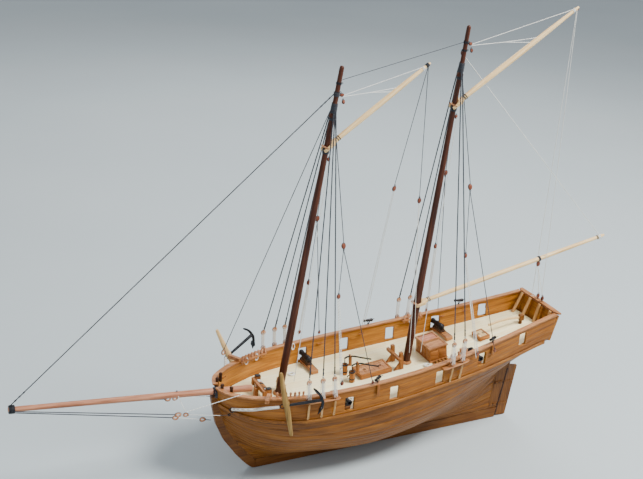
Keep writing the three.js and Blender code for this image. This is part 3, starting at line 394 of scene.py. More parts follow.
def quads(rows, sides):
    """The faces between rings of points."""
    faces = []
    for low in range(0, (rows - 1) * sides, sides):
        for k in range(sides):
            n = (k + 1) % sides
            faces.append([low + k, low + n, low + sides + n, low + sides + k])
    return faces


def mirrored(*half):
    """A profile whose upper half mirrors the lower half given."""
    return [*half, *[(r, -h) for r, h in reversed(half) if h]]


def upright_to(axis):
    return Vector(UP).rotation_difference(Vector(axis).normalized())


class Form:
    """Collects solids, in ship millimetres, into one mesh."""

    def __init__(self):
        self.points, self.faces, self.uvs = [], [], []

    def add(self, points, faces, uvs=None, move=None):
        first = len(self.points)
        self.points += [move @ Vector(p) if move else Vector(p) for p in points]
        for k, face in enumerate(faces):
            self.faces.append([first + i for i in face])
            self.uvs.append(uvs[k] if uvs else [(0, 0)] * len(face))
        return self

    def add_rounded(self, mesh, bevel, move):
        bmesh.ops.bevel(mesh, geom=mesh.edges[:], offset=bevel, segments=2, profile=0.5, affect="EDGES")
        mesh.verts.index_update()
        self.add([v.co.copy() for v in mesh.verts], [[v.index for v in f.verts] for f in mesh.faces], None, move)
        mesh.free()

    def block(self, low, high, bevel=0.2, move=None):
        mesh = bmesh.new()
        bmesh.ops.create_cube(mesh, size=1)
        low, high = Vector(low), Vector(high)
        size = high - low
        for v in mesh.verts:
            v.co = Vector([v.co[i] * size[i] for i in range(3)]) + (low + high) / 2
        self.add_rounded(mesh, min(bevel, min(size) * 0.3), move)

    def prism(self, outline, half, bevel, move):
        """An outline in x and z, and half its thickness to each side."""
        mesh = bmesh.new()
        face = mesh.faces.new([mesh.verts.new((x, -half, z)) for x, z in outline])
        for v in bmesh.ops.extrude_face_region(mesh, geom=[face])["geom"]:
            if isinstance(v, bmesh.types.BMVert):
                v.co.y = half
        bmesh.ops.recalc_face_normals(mesh, faces=mesh.faces[:])
        self.add_rounded(mesh, bevel, move)

    def loft(self, rings):
        """A solid through rings of points, closed at both ends."""
        sides = len(rings[0])
        last = (len(rings) - 1) * sides
        ends = [list(range(sides)), [last + k for k in range(sides)][::-1]]
        return self.add([p for ring in rings for p in ring], quads(len(rings), sides) + ends)

    def turned(self, profile, base, axis, sides=28, move=None):
        """A turned solid: (radius, height) points, standing at base along axis."""
        spin, base, uvs = upright_to(axis), Vector(base), []
        points = [base + spin @ Vector((r * math.cos(a), r * math.sin(a), h))
                  for r, h in profile for a in circle(sides)[:-1]]
        for (_, h0), (_, h1) in zip(profile, profile[1:]):
            for k in range(sides):
                a0, a1 = (6 * math.pi * MM * n / sides for n in (k, k + 1))
                uvs.append([(a0, h0 * MM), (a1, h0 * MM), (a1, h1 * MM), (a0, h1 * MM)])
        return self.add(points, quads(len(profile), sides), uvs, move)

    def tube(self, path, radius, sides=10, move=None):
        """A bar along a path; the radius is a number or one for each point."""
        path = [Vector(p) for p in path]
        radii = radius if hasattr(radius, "__len__") else [radius] * len(path)
        side, points, uvs, run = None, [], [], 0
        for i, p in enumerate(path):
            ahead = (path[min(i + 1, len(path) - 1)] - path[max(i - 1, 0)]).normalized()
            if side is None:
                side = ahead.orthogonal().normalized()
            side = (side - ahead * side.dot(ahead)).normalized()
            over = ahead.cross(side)
            points += [p + (side * math.cos(a) + over * math.sin(a)) * radii[i] for a in circle(sides)[:-1]]
        for a, b in zip(path, path[1:]):
            end = run + (b - a).length * MM
            for k in range(sides):
                a0, a1 = 6 * MM * k / sides, 6 * MM * (k + 1) / sides
                uvs.append([(a0, run), (a1, run), (a1, end), (a0, end)])
            run = end
        last = (len(path) - 1) * sides
        ends = [list(range(sides))[::-1], [last + k for k in range(sides)]]
        return self.add(points, quads(len(path), sides) + ends, uvs + [[(0, 0)] * sides] * 2, move)

    def ball(self, centre, radius, squash=(1, 1, 1), move=None):
        rows, sides = 8, 14
        points = []
        for b in circle(rows * 2)[:rows + 1]:
            for a in circle(sides)[:-1]:
                spot = (math.sin(b) * math.cos(a), math.sin(b) * math.sin(a), -math.cos(b))
                points.append(Vector(centre) + Vector([c * s for c, s in zip(spot, squash)]) * radius)
        return self.add(points, quads(rows + 1, sides), None, move)

    def hoop(self, centre, axis, radius, thick, sides=24, move=None):
        spin, centre = upright_to(axis), Vector(centre)
        path = [centre + spin @ Vector((radius * math.cos(a), radius * math.sin(a), 0)) for a in circle(sides)]
        return self.tube(path, thick, 8, move)

    def make(self, name, mat, body="hull", slot=None, sharp=35):
        """The piece itself, riding on a body, or on none when no body is given."""
        mesh = bpy.data.meshes.new(name)
        mesh.from_pydata([at(p) for p in self.points], [], self.faces)
        layer = mesh.uv_layers.new(name="UVMap")
        layer.data.foreach_set("uv", [c for uv in self.uvs for pair in uv for c in pair])
        work = bmesh.new()
        work.from_mesh(mesh)
        bmesh.ops.remove_doubles(work, verts=work.verts, dist=1e-7)
        bmesh.ops.dissolve_degenerate(work, dist=1e-8, edges=work.edges)
        bmesh.ops.recalc_face_normals(work, faces=work.faces[:])
        work.to_mesh(mesh)
        work.free()
        mesh.shade_smooth()
        mesh.set_sharp_from_angle(angle=math.radians(sharp))
        mesh.materials.append(MAT[mat])
        obj = add_to_scene(bpy.data.objects.new(name, mesh))
        if body:
            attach(obj, body)
        return obj


# ---------- the hull's surface, as in the CAD ----------

def square(x, points):
    return [(x, y, z) for y, z in points]


FRAMES = np.array([
    [(6.5, 1.9, 9.3), (5.2, 1.9, 24), (3.2, 1.9, 42), (-6, 1.9, 56),
     (-26, 2.2, 78), (-28, 25.3, 82), (-33.2, 27, 105.8)],
    [(10, 1.9, 9.3), (9, 2.1, 24), (6, 3, 43), (-1, 9, 59), (-8, 19, 71),
     (-12, 27.6, 79.5), (-14, 29, 102.6)],
    square(30, [(1.9, 9.2), (4.2, 19), (9, 31), (16.5, 43), (25, 55.5), (34, 72.8), (35.3, 95.3)]),
    square(80, [(1.9, 8.6), (10, 15), (20, 23), (29.5, 33.5), (36.5, 46), (41, 68.3), (41.7, 88.5)]),
    square(140, [(1.9, 7.6), (15, 11.5), (27, 18), (36, 27.5), (41.5, 40), (44.6, 62.5), (44.9, 83.1)]),
    square(200, [(1.9, 7.4), (11, 13), (21.5, 20.5), (30.5, 29.5), (37, 40), (41.3, 59), (41.8, 80.1)]),
    [(214, 1.9, 7.4), (222, 6.2, 15), (227, 12.5, 24), (230, 19, 33.5),
     (232, 25, 44), (232.5, 30, 59.8), (232.5, 31.4, 79.2)],
    [(220, 1.9, 7.6), (231, 3.8, 18), (238, 7, 28.5), (243.5, 11, 39),
     (247, 15, 49.5), (249.5, 19, 63), (250, 20.6, 79)],
    [(224, 1.9, 7.8), (235, 2.5, 19.4), (242.7, 3.8, 30.7), (248.6, 5.8, 41.2),
     (252.6, 8.2, 52), (255.8, 10.6, 64.2), (257.6, 12.6, 79)],
    [(227.5, 1.9, 8), (238, 1.9, 20), (246.4, 1.9, 31.5), (252, 1.9, 42),
     (255.8, 1.9, 53), (258.5, 1.9, 64.5), (260.9, 1.9, 79)],
], float)
DECK_BELOW_RAIL = np.array([16.3, 16.4, 17, 18.5, 19.3, 19.1, 18.2, 17.4, 17.2, 17])
WALE_V = 5 / 6
GUNPORTS = [168.5, 130, 88, 46.3, 3]
PORT_WIDE, PORT_HIGH, PORT_SILL = 8, 11.5, 1.3


def weights(ts, count):
    """Each row holds a Catmull-Rom curve's weights of its points at t, from 0 to 1."""
    table = np.zeros((len(ts), count))
    for row, t in enumerate(ts):
        place = min(max(t, 0), 1) * (count - 1)
        i = min(int(place), count - 2)
        w = place - i
        basis = (
            -0.5 * w + w * w - 0.5 * w ** 3,
            1 - 2.5 * w * w + 1.5 * w ** 3,
            0.5 * w + 2 * w * w - 1.5 * w ** 3,
            -0.5 * w * w + 0.5 * w ** 3,
        )
        for k, b in zip((i - 1, i, i + 1, i + 2), basis):
            if k < 0:
                table[row, 0] += 2 * b
                table[row, 1] -= b
            elif k >= count:
                table[row, count - 1] += 2 * b
                table[row, count - 2] -= b
            else:
                table[row, k] += b
    return table


def surface(us, vs):
    return np.einsum("ui,ijk,vj->uvk", weights(us, 10), FRAMES, weights(vs, 7))


def hull(u, v):
    return surface([u], [v])[0, 0]


def normals(us, vs):
    e = 0.004
    us, vs = np.array(us, float), np.array(vs, float)
    along = surface(np.minimum(us + e, 1), vs) - surface(np.maximum(us - e, 0), vs)
    up = surface(us, np.minimum(vs + e, 1)) - surface(us, np.maximum(vs - e, 0))
    n = np.cross(up, along)
    return n / np.linalg.norm(n, axis=2, keepdims=True)


def bisect(test, low=0.0, high=1.0):
    for _ in range(26):
        mid = (low + high) / 2
        if test(mid):
            low = mid
        else:
            high = mid
    return (low + high) / 2


def u_at(x, v=1.0):
    return bisect(lambda t: hull(t, v)[0] < x)


def v_at(u, z):
    return bisect(lambda t: hull(u, t)[2] < z)


def rail(x):
    return hull(u_at(x), 1.0)


def deck_side(x):
    u = u_at(x)
    return hull(u, 1)[2] - (weights([u], 10) @ DECK_BELOW_RAIL)[0]


def deck_z(x, y=0.0):
    half = rail(x)[1]
    return deck_side(x) + 1.2 * (1 - min(1, (y / half) ** 2))


def side_y(x, z):
    u = u_at(x)
    for _ in range(5):
        u = u_at(x, v_at(u, z))
    return hull(u, v_at(u, z))[1]


CEILING_IN = 2.0


def strip(form, us, low, high, number, sign, chamfer, skip=(), inside=False):
    """One plank between two edges on the hull's surface, or so far inside it, set back at each seam.
    skip holds spans of x left open."""
    rows = [0, 0.06, 0.5, 0.94, 1] if inside else [0, 0.05, 0.35, 0.65, 0.95, 1]
    shift = np.full((len(rows), 1), -CEILING_IN if inside else 0.0)
    shift[[0, -1]] -= chamfer
    order = -1 if sign > 0 and not inside else 1
    grid = []
    for u, a, b in zip(us, np.broadcast_to(low, len(us)), np.broadcast_to(high, len(us))):
        vs = [a + (b - a) * s for s in rows]
        n = normals([u], vs)[0]
        if inside:
            n[:, 2] = 0
            n /= np.linalg.norm(n, axis=1, keepdims=True)
        line = surface([u], vs)[0] + n * shift
        line[:, 1] = np.maximum(line[:, 1], 0.3) * sign
        grid.append(line)
    cols = len(rows)
    faces, uvs = [], []
    for i in range(len(us) - 1):
        middle = (grid[i][2][0] + grid[i + 1][2][0]) / 2
        if any(a < middle < b for a, b in skip):
            continue
        for j in range(cols - 1):
            first = i * cols + j
            x0, x1 = grid[i][j][0] * MM, grid[i + 1][j][0] * MM
            # Texture: the first coordinate runs across the grain in metres, the second along it.
            t0, t1 = number + 0.1 + 0.005 * rows[j], number + 0.1 + 0.005 * rows[j + 1]
            faces.append([first, first + cols, first + cols + 1, first + 1][::order])
            uvs.append([(t0, x0), (t0, x1), (t1, x1), (t1, x0)][::order])
    form.add([tuple(p) for line in grid for p in line], faces, uvs)


# ---------- hull planking and bulwarks ----------

def shell():
    """Thirteen strakes a side below the wale, each with its own tone."""
    form, count = Form(), 13
    for sign, first in ((1, 0), (-1, 40)):
        for k in range(count):
            low, high = WALE_V * k / count, WALE_V * (k + 1) / count
            strip(form, np.linspace(0, 1, 121), low, high, first + k, sign, 0.3)
    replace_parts(form.make("hull_strakes", "hull", slot="hull_planking", sharp=60), "hull_planking")


def bulwark(side, sign):
    """Outer and inner planking with square gunports through both."""
    spans = [(x - PORT_WIDE / 2, x + PORT_WIDE / 2) for x in GUNPORTS]
    cuts = [u_at(x) for span in spans for x in span]
    us = sorted([*np.linspace(0.0, 1, 110), *cuts, *[c + 1e-5 for c in cuts]])
    edges = []
    for u in us:
        high = hull(u, 1)[2]
        foot, top = v_at(u, hull(u, WALE_V)[2] + 0.3), v_at(u, high - 1.5)
        z = high - (weights([u], 10) @ DECK_BELOW_RAIL)[0] + PORT_SILL
        sill = min(max(v_at(u, z), foot + 0.001), top - 0.01)
        head = min(max(v_at(u, z + PORT_HIGH), foot + 0.005), top - 0.001)
        edges.append((foot, sill, (sill + head) / 2, head, top))
    edges = np.array(edges).T
    outer, inner, linings = Form(), Form(), Form()
    for k, skip in enumerate(((), spans, spans, ())):
        number = k + (20 if sign < 0 else 0)
        strip(outer, us, edges[k], edges[k + 1], 80 + number, sign, 0.18, skip)
        strip(inner, us, edges[k], edges[k + 1], 60 + number, sign, -0.15, skip, inside=True)
    for x in GUNPORTS:
        port_lining(linings, x, sign)
    slot = f"bulwark_{side}"
    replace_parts(outer.make(f"bulwark_planks_{side}", "bulwark_out", slot=slot, sharp=60), slot)
    inner.make(f"bulwark_ceiling_{side}", "bulwark", slot=slot, sharp=60)
    linings.make(f"gunport_linings_{side}", "stern", slot=slot)


def port_lining(form, x, sign):
    """Four boards round a gunport, standing with the bulwark's lean and turn."""
    z, half, deep = deck_side(x) + PORT_SILL, PORT_WIDE / 2, 1.05
    y = side_y(x, z)
    lean = math.atan2(side_y(x, z + PORT_HIGH) - y, PORT_HIGH)
    turn = math.atan2(side_y(x + half, z + 5) - side_y(x - half, z + 5), PORT_WIDE)
    move = Matrix.Translation((x, (y - deep) * sign, z))
    move = move @ Matrix.Rotation(turn * sign, 4, "Z") @ Matrix.Rotation(-lean * sign, 4, "X")
    for x0, x1, z0, z1 in (
        (-half - 0.05, half + 0.05, -0.5, 0.12),
        (-half - 0.05, half + 0.05, PORT_HIGH - 0.12, PORT_HIGH + 0.5),
        (-half - 0.5, -half + 0.12, -0.5, PORT_HIGH + 0.5),
        (half - 0.12, half + 0.5, -0.5, PORT_HIGH + 0.5),
    ):
        form.block((x0, -deep, z0), (x1, deep, z1), 0.1, move)


# ---------- CAD nodes that keep their shape ----------

def softener():
    """A modifier group that merges corners, smooths faces and keeps sharp edges over 32 degrees."""
    group = bpy.data.node_groups.new("soften", "GeometryNodeTree")
    for way in ("INPUT", "OUTPUT"):
        group.interface.new_socket("Geometry", in_out=way, socket_type="NodeSocketGeometry")
    add, link = group.nodes.new, group.links.new
    start, end = add("NodeGroupInput"), add("NodeGroupOutput")
    weld, drop = add("GeometryNodeMergeByDistance"), add("GeometryNodeRemoveAttribute")
    weld.inputs["Distance"].default_value = 1e-6
    drop.inputs["Name"].default_value = "custom_normal"
    smooth, sharp = add("GeometryNodeSetShadeSmooth"), add("GeometryNodeSetShadeSmooth")
    sharp.domain = "EDGE"
    sharp.inputs["Shade Smooth"].default_value = False
    angle, over = add("GeometryNodeInputMeshEdgeAngle"), add("FunctionNodeCompare")
    over.inputs[1].default_value = math.radians(32)
    for a, b in zip((start, drop, weld, smooth, sharp), (drop, weld, smooth, sharp, end)):
        link(a.outputs[0], b.inputs[0])
    link(angle.outputs[0], over.inputs[0])
    link(over.outputs[0], sharp.inputs["Selection"])
    return group


SOFTEN = softener()


KEPT = (
    ("keel", 0.3, "keel spine stem"),
    ("post", 0.25, "sternpost rudder"),
    ("stern", 0.25, "transom"),
    ("railY", 0.3, "taffrail"),
    ("rail", 0.25, "cap_rail_port cap_rail_starboard"),
    ("wale", 0.3, "wale_port wale_starboard"),
    ("deck", 0, "deck"),
    ("ply", 0.15, "bulkhead_aft bulkhead_middle bulkhead_fore"),
    ("spar", 0.3, "tiller"),
    ("rail", 0.2, "main_hatch aft_hatch companion_lid gun_slide_fore_port gun_slide_fore_starboard"),
    ("rail", 0.2, "gun_slide_aft_port gun_slide_aft_starboard"),
    ("fittingY", 0.2, "companion"),
    ("fittingZ", 0.2, "main_bitts windlass_bitts"),
    ("fittingY", 0.15, "windlass_barrel"),
    ("fittingZ", 0.12, "pump_port pump_starboard"),
    ("iron", 0.12, "pump_handle_port pump_handle_starboard"),
)


def kept_nodes():
    """Gives each kept node its material and softened edges so many millimetres wide."""
    for mat, bevel, names in KEPT:
        for name in names.split():
            obj = NODES[name]
            obj.data.materials.clear()
            obj.data.materials.append(MAT[mat])
            obj.modifiers.new("soften", "NODES").node_group = SOFTEN
            if bevel:
                edge = obj.modifiers.new("edge", "BEVEL")
                edge.width, edge.segments = bevel * MM, 2
                edge.limit_method, edge.angle_limit = "ANGLE", math.radians(40)
                edge.harden_normals = False


# ---------- masts and spars ----------

FOREMAST = dict(foot=(212.4, 29), head=(170.5, 317.8), r0=3, r1=1.7)
MAINMAST = dict(foot=(98.2, 29), head=(67.1, 343.6), r0=3, r1=1.6)
FORE_HOUNDS, MAIN_HOUNDS = 286, 311


def mast_x(spec, z):
    t = (z - spec["foot"][1]) / (spec["head"][1] - spec["foot"][1])
    return spec["foot"][0] + (spec["head"][0] - spec["foot"][0]) * t


def mast_r(spec, z):
    t = max(0, (z - 120) / (spec["head"][1] - 120))
    return spec["r0"] + (spec["r1"] - spec["r0"]) * t


def mast_axis(spec):
    return Vector((spec["head"][0] - spec["foot"][0], 0, spec["head"][1] - spec["foot"][1])).normalized()


def on_mast(spec, z, along=0.0, y=0.0, fore=0.0):
    """A point on the mast's axis at height z, then so far forward of it and to port."""
    return Vector((mast_x(spec, z) + fore, y, z)) + mast_axis(spec) * along


def make_mast(name, spec, hounds, bands, jaws):
    """The pole with its swell at the hounds, its iron bands, the cord round it, and its coat on the deck."""
    mast = name.removesuffix("mast")
    low, coat = (50.0, 65) if mast == "fore" else (60.0, 72)
    head, r1 = spec["head"][1], spec["r1"]
    rise = head - spec["foot"][1]
    scale = math.hypot(spec["head"][0] - spec["foot"][0], rise) / rise
    knots = [(z, 0) for z in (low, 70, 100, 120, 150, 180, 210, 240, 265, hounds - 5)]
    knots += [(hounds - 4.6, 0.15), (hounds - 4.2, 0.75), (hounds - 2.2, 0.8), (hounds - 1.6, 0.2)]
    knots += [(z, 0) for z in (hounds, hounds + 8, hounds + 16, head - 6)]
    top = (head - low) * scale
    profile = [(0, 0)] + [(mast_r(spec, z) + out, (z - low) * scale) for z, out in knots]
    profile += [(r1, top - 0.6), (r1 * 0.92, top + 0.4), (r1 * 0.6, top + 1.2), (0, top + 1.6)]
    pole = Form().turned(profile, (mast_x(spec, low), 0, low), mast_axis(spec), 32)
    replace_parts(pole.make(f"{name}_pole", "mast", slot=name), name)
    iron, wraps, boot = Form(), Form(), Form()
    for z, high in bands:
        r = mast_r(spec, z)
        ring = mirrored((r - 0.1, -high / 2), (r + 0.22, -high / 2), (r + 0.3, -high / 4))
        iron.turned(ring, on_mast(spec, z), mast_axis(spec), 32)
        iron.hoop(on_mast(spec, z, fore=-r - 0.9), ACROSS, 0.6, 0.2, 14)
    iron.make(f"{name}_bands", "iron", slot=name)
    for z, count, thick in ((hounds + 3.2, 5, 0.32), (hounds - 6.2, 4, 0.32), (jaws - 4.2, 6, 0.3)):
        turns(wraps, spec, z, count, thick)
    wraps.make(f"{name}_lashings", "black", slot=f"shrouds_{mast}_port")
    base = on_mast(spec, deck_z(mast_x(spec, coat)))
    boot.turned([(3.05, 0.1), (4.6, 0.1), (4.7, 0.7), (4.1, 1.7), (3.3, 2), (3.05, 2)], base, UP, 28)
    boot.make(f"{name}_coat", "railY", slot=name)


def turns(form, spec, z, count, thick):
    """Turns of cord round a mast, side by side."""
    axis, side = mast_axis(spec), Vector(ACROSS)
    fore = side.cross(axis).normalized()
    r = mast_r(spec, z) + thick * 0.9
    path = [on_mast(spec, z) + axis * (k / 16 * thick * 1.9) + (fore * math.cos(a) + side * math.sin(a)) * r
            for k, a in enumerate(circle(16, count))]
    form.tube(path, thick, 7)


FORE_GAFF = dict(throat=259.3, peak=(97.5, 318.2), r0=2, r1=1.2)
MAIN_GAFF = dict(throat=284.6, peak=(-32, 356.5), r0=2.1, r1=1.2)
MAIN_BOOM = dict(throat=121.8, peak=(-94, 160), r0=1.9, r1=1.4)


def spar_frame(spec, mast):
    centre = on_mast(mast, spec["throat"])
    outer = Vector((spec["peak"][0], 0, spec["peak"][1]))
    along = (outer - centre).normalized()
    clear = mast_r(mast, spec["throat"]) + 0.45
    tilt = math.pi / 2 - along.angle(mast_axis(mast))
    notch = clear / math.cos(tilt) + 1.2 * abs(math.tan(tilt))
    return centre, outer, along, clear, notch


def spar_point(spec, mast, t, lift=0.0, y=0.0):
    """A point a share t of the way out along a gaff or boom, so far above it."""
    centre, outer, along, _, _ = spar_frame(spec, mast)
    up = Vector((-along.z, 0, along.x)) if along.x > 0 else Vector((along.z, 0, -along.x))
    return centre.lerp(outer, t) + up * lift + Vector((0, y, 0))


def make_spar(name, spec, mast):
    """A gaff or boom with its jaws, bands and parrel. Its body has its name."""
    centre, outer, along, clear, notch = spar_frame(spec, mast)
    start = centre + along * (notch + 0.6)
    length = (outer - start).length
    r0, r1 = spec["r0"], spec["r1"]
    knots = [(0.8, 0.0), (0.95, 0.12), (1.06, 0.35), (1.02, 0.55), (0.9, 0.75)]
    profile = [(0, 0)] + [(r0 * f, length * s) for f, s in knots]
    profile += [(r1 + 0.05, length * 0.965), (r1, length - 2.2), (r1 * 0.75, length - 1.9)]
    profile += [(r1 * 0.75, length - 0.6), (r1 * 0.5, length), (0, length)]
    pole = Form().turned(profile, start, along, 28)
    up = Vector((along.z, 0, -along.x))
    place = Matrix.Translation(centre) @ Matrix((along, up.cross(along), up)).transposed().to_4x4()
    jaw(pole, notch, clear, place)
    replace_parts(pole.make(f"{name}_pole", "spar", name, slot=name), name)
    trim = Form()
    ring = [(r0 * 0.8, 0), (r0 + 0.12, 0), (r0 + 0.2, 0.25), (r0 + 0.12, 0.5), (r0 * 0.8, 0.5)]
    for past in (5.4, 7):
        trim.turned(ring, centre + along * (notch + past), along, 24)
    tip = [(r1 * 0.6, 0), (r1 + 0.28, 0), (r1 + 0.34, 0.4), (r1 + 0.28, 0.9), (r1 * 0.6, 0.9)]
    trim.turned(tip, start + along * (length * 0.955), along, 24)
    trim.make(f"{name}_bands", "iron", name, slot=name)
    parrel(name, mast, spec["throat"], clear)


def hitch(form, spec, mast, share, offsets, radius, thick, sides=20):
    """Hoops of cord round a gaff or boom, so far past a share of the way out along it."""
    centre, outer, along, _, _ = spar_frame(spec, mast)
    for past in offsets:
        form.hoop(centre.lerp(outer, share) + along * past, along, radius, thick, sides)


def jaw(form, notch, clear, place):
    """The two cheeks of the jaws, round the mast's after half, drawn along +X and flat in X and Y."""
    end = -notch * 0.75
    bow = [(notch * math.cos(a), clear * math.sin(a)) for a in (math.pi * (0.5 - k / 12) for k in range(1, 12))]
    path = [(notch + 8.5, 1.0), (notch + 4, 2.0), (notch + 1, clear + 1.5)]
    path += [(end + 1, clear + 1.15), (end, clear + 0.6), (end + 0.2, clear), (0, clear)]
    # The prism is drawn in X and Z, so its Z is the jaws' Y.
    lay = place @ Matrix(((1, 0, 0, 0), (0, 0, 1, 0), (0, -1, 0, 0), (0, 0, 0, 1)))
    form.prism(path + bow + [(x, -y) for x, y in reversed(path)], 1.15, 0.22, lay)


def parrel(name, mast, z, clear):
    """Beads on a cord, round the fore side of the mast between the tips of the jaws."""
    beads, path = Form(), []
    axis, side = mast_axis(mast), Vector(ACROSS)
    fore = side.cross(axis).normalized()
    for k in range(13):
        a = math.radians(-100 + 200 * k / 12)
        reach = (fore * math.cos(a) + side * math.sin(a)) * (clear + 0.95)
        path.append(on_mast(mast, z) + reach + axis * (1.2 * math.cos(a)))
    for p in path[1:-1]:
        beads.ball(p, 0.72)
    beads.make(f"{name}_parrel_beads", "dead", name, slot=name)
    Form().tube(path, 0.22, 6).make(f"{name}_parrel_cord", "white", name, slot=name)


def make_bowsprit():
    heel, tip = Vector((230.8, 0, 71.35)), Vector((413, 0, 88.6))
    axis, length = (tip - heel).normalized(), (tip - heel).length
    profile = [(0, 0), (2.3, 0), (2.6, 0.5)] + [(2.7 - 0.8 * t, length * t) for t in (0.02, 0.2, 0.4, 0.6, 0.8, 0.97)]
    profile += [(1.85, length - 0.6), (1.3, length), (0, length)]
    pole = Form().turned(profile, heel, axis, 32)
    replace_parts(pole.make("bowsprit_pole", "bowsprit", slot="bowsprit"), "bowsprit")
    cap = Form()
    profile = [(1.7, 0), (2.9, 0), (3.15, 0.3), (3.15, 3.6), (2.9, 4), (1.9, 4.05), (1.5, 4.05)]
    cap.turned(profile, heel + axis * (length - 4.4), axis, 28)
    for r in (2.46, 2.204):
        ring = [(r - 0.1, 0), (r + 0.15, 0), (r + 0.2, 0.5), (r + 0.15, 1), (r - 0.1, 1)]
        cap.turned(ring, heel + axis * length * 0.17, axis, 28)
    cap.make("bowsprit_cap", "iron", slot="bowsprit_rigging")
    first = (258.4 - heel.x) / (tip.x - heel.x)
    path = []
    for k, a in enumerate(circle(20, 5)):
        side, up = math.cos(a), math.sin(a)
        path.append(heel.lerp(tip, first + 0.0035 * k / 20) + Vector((up * 0.3, side * 3, up * (3 if up > 0 else 6))))
    Form().tube(path, 0.3, 7).make("bowsprit_gammoning", "black", slot="bowsprit_rigging")


# ---------- channels, deadeyes and shrouds ----------

CHANNELS = {
    "fore": dict(start=178, end=205, deadeyes=[203, 192.5, 182.5], upper=[203.6, 193, 183.8], rise=16.5),
    "main": dict(start=62.5, end=87.5, deadeyes=[79, 69.5], upper=[79.2, 68.8], rise=18.5),
}
CHANNEL_BELOW, CHANNEL_WIDE = 2.9, 4.6
DEADEYE_R, DEADEYE_THICK = 2.1, 1.7


def deadeye(wood_form, hole_form, centre):
    """A round block with a grooved rim and three holes, facing the side."""
    t, r = DEADEYE_THICK / 2, DEADEYE_R
    rim = mirrored((0, -t), (r * 0.55, -t), (r * 0.9, -t * 0.7), (r * 0.97, -t * 0.35), (r * 0.84, 0))
    wood_form.turned(rim, centre, ACROSS, 26)
    for a in map(math.radians, (90, 210, 330)):
        spot = Vector(centre) + Vector((math.cos(a), 0, math.sin(a))) * r * 0.45
        hole_form.turned(mirrored((0, -t - 0.03), (0.3, -t - 0.03)), spot, ACROSS, 12)


def channel_foot(x):
    """The half breadth and the height at which a channel leaves the planking."""
    z = rail(x)[2] - CHANNEL_BELOW
    return side_y(x, z) + 0.3, z


def channel(mast, side, sign):
    spec = CHANNELS[mast]
    board, holes, straps, eyes, strops = Form(), Form(), Form(), Form(), Form()
    last, rings = 18, []
    for i, x in enumerate(np.linspace(spec["start"], spec["end"], last + 1)):
        y, z = channel_foot(x)
        wide = CHANNEL_WIDE - 1.2 * max(0, 1 - min(i, last - i) / 1.5)
        ring = [(0, -1.05), (0, -0.1), (wide - 0.35, 0), (wide, -0.3), (wide, -0.8), (wide - 0.35, -1.1)]
        rings.append([(x, (y + out) * sign, z + dz) for out, dz in ring])
    board.loft(rings)
    for x in spec["deadeyes"]:
        y, z = channel_foot(x)
        y += CHANNEL_WIDE - 1.4
        eye = Vector((x, y * sign, z + DEADEYE_R + 0.3))
        deadeye(eyes, holes, eye)
        strops.hoop(eye, ACROSS, DEADEYE_R * 0.88, 0.28, 26)
        foot_z = rail(x)[2] - 18.2
        foot = Vector((x - 1, (side_y(x - 1, foot_z) + 0.75) * sign, foot_z))
        neck = Vector((x + 0.1, (y + 0.9) * sign, z - 1.4))
        strops.tube([eye + Vector((0, 0, -DEADEYE_R)), Vector((x, (y + 0.55) * sign, z + 0.1)), neck], 0.3, 8)
        plate(straps, neck, foot)
        strops.ball(foot + Vector((0, 0.35 * sign, 1.0)), 0.42)
        strops.ball(foot + Vector((0.15, 0.45 * sign, 3.4)), 0.34)
    name = f"{mast}_{side}"
    slot = f"channel_{name}"
    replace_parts(board.make(f"channel_board_{name}", "rail", slot=slot), slot)
    straps.make(f"chainplates_{name}", "tan", slot=slot)
    eyes.make(f"lower_deadeyes_{name}", "dead", slot=slot)
    holes.make(f"lower_deadeye_holes_{name}", "iron", slot=slot)
    strops.make(f"lower_strops_{name}", "iron", slot=slot)


def plate(form, top, foot):
    """A flat chainplate from the channel's edge to the wale."""
    along = (foot - top).normalized()
    wide = (Vector((1, 0, 0)) - along * along.x).normalized()
    out = wide.cross(along).normalized() * 0.3
    rings = []
    for t, w in ((0, 0.55), (0.15, 0.75), (0.85, 0.75), (1, 0.95), (1 + 0.8 / (foot - top).length, 0.5)):
        p, reach = top.lerp(foot, t), wide * w
        rings.append([p - reach - out, p + reach - out, p + reach + out, p - reach + out])
    form.loft(rings)


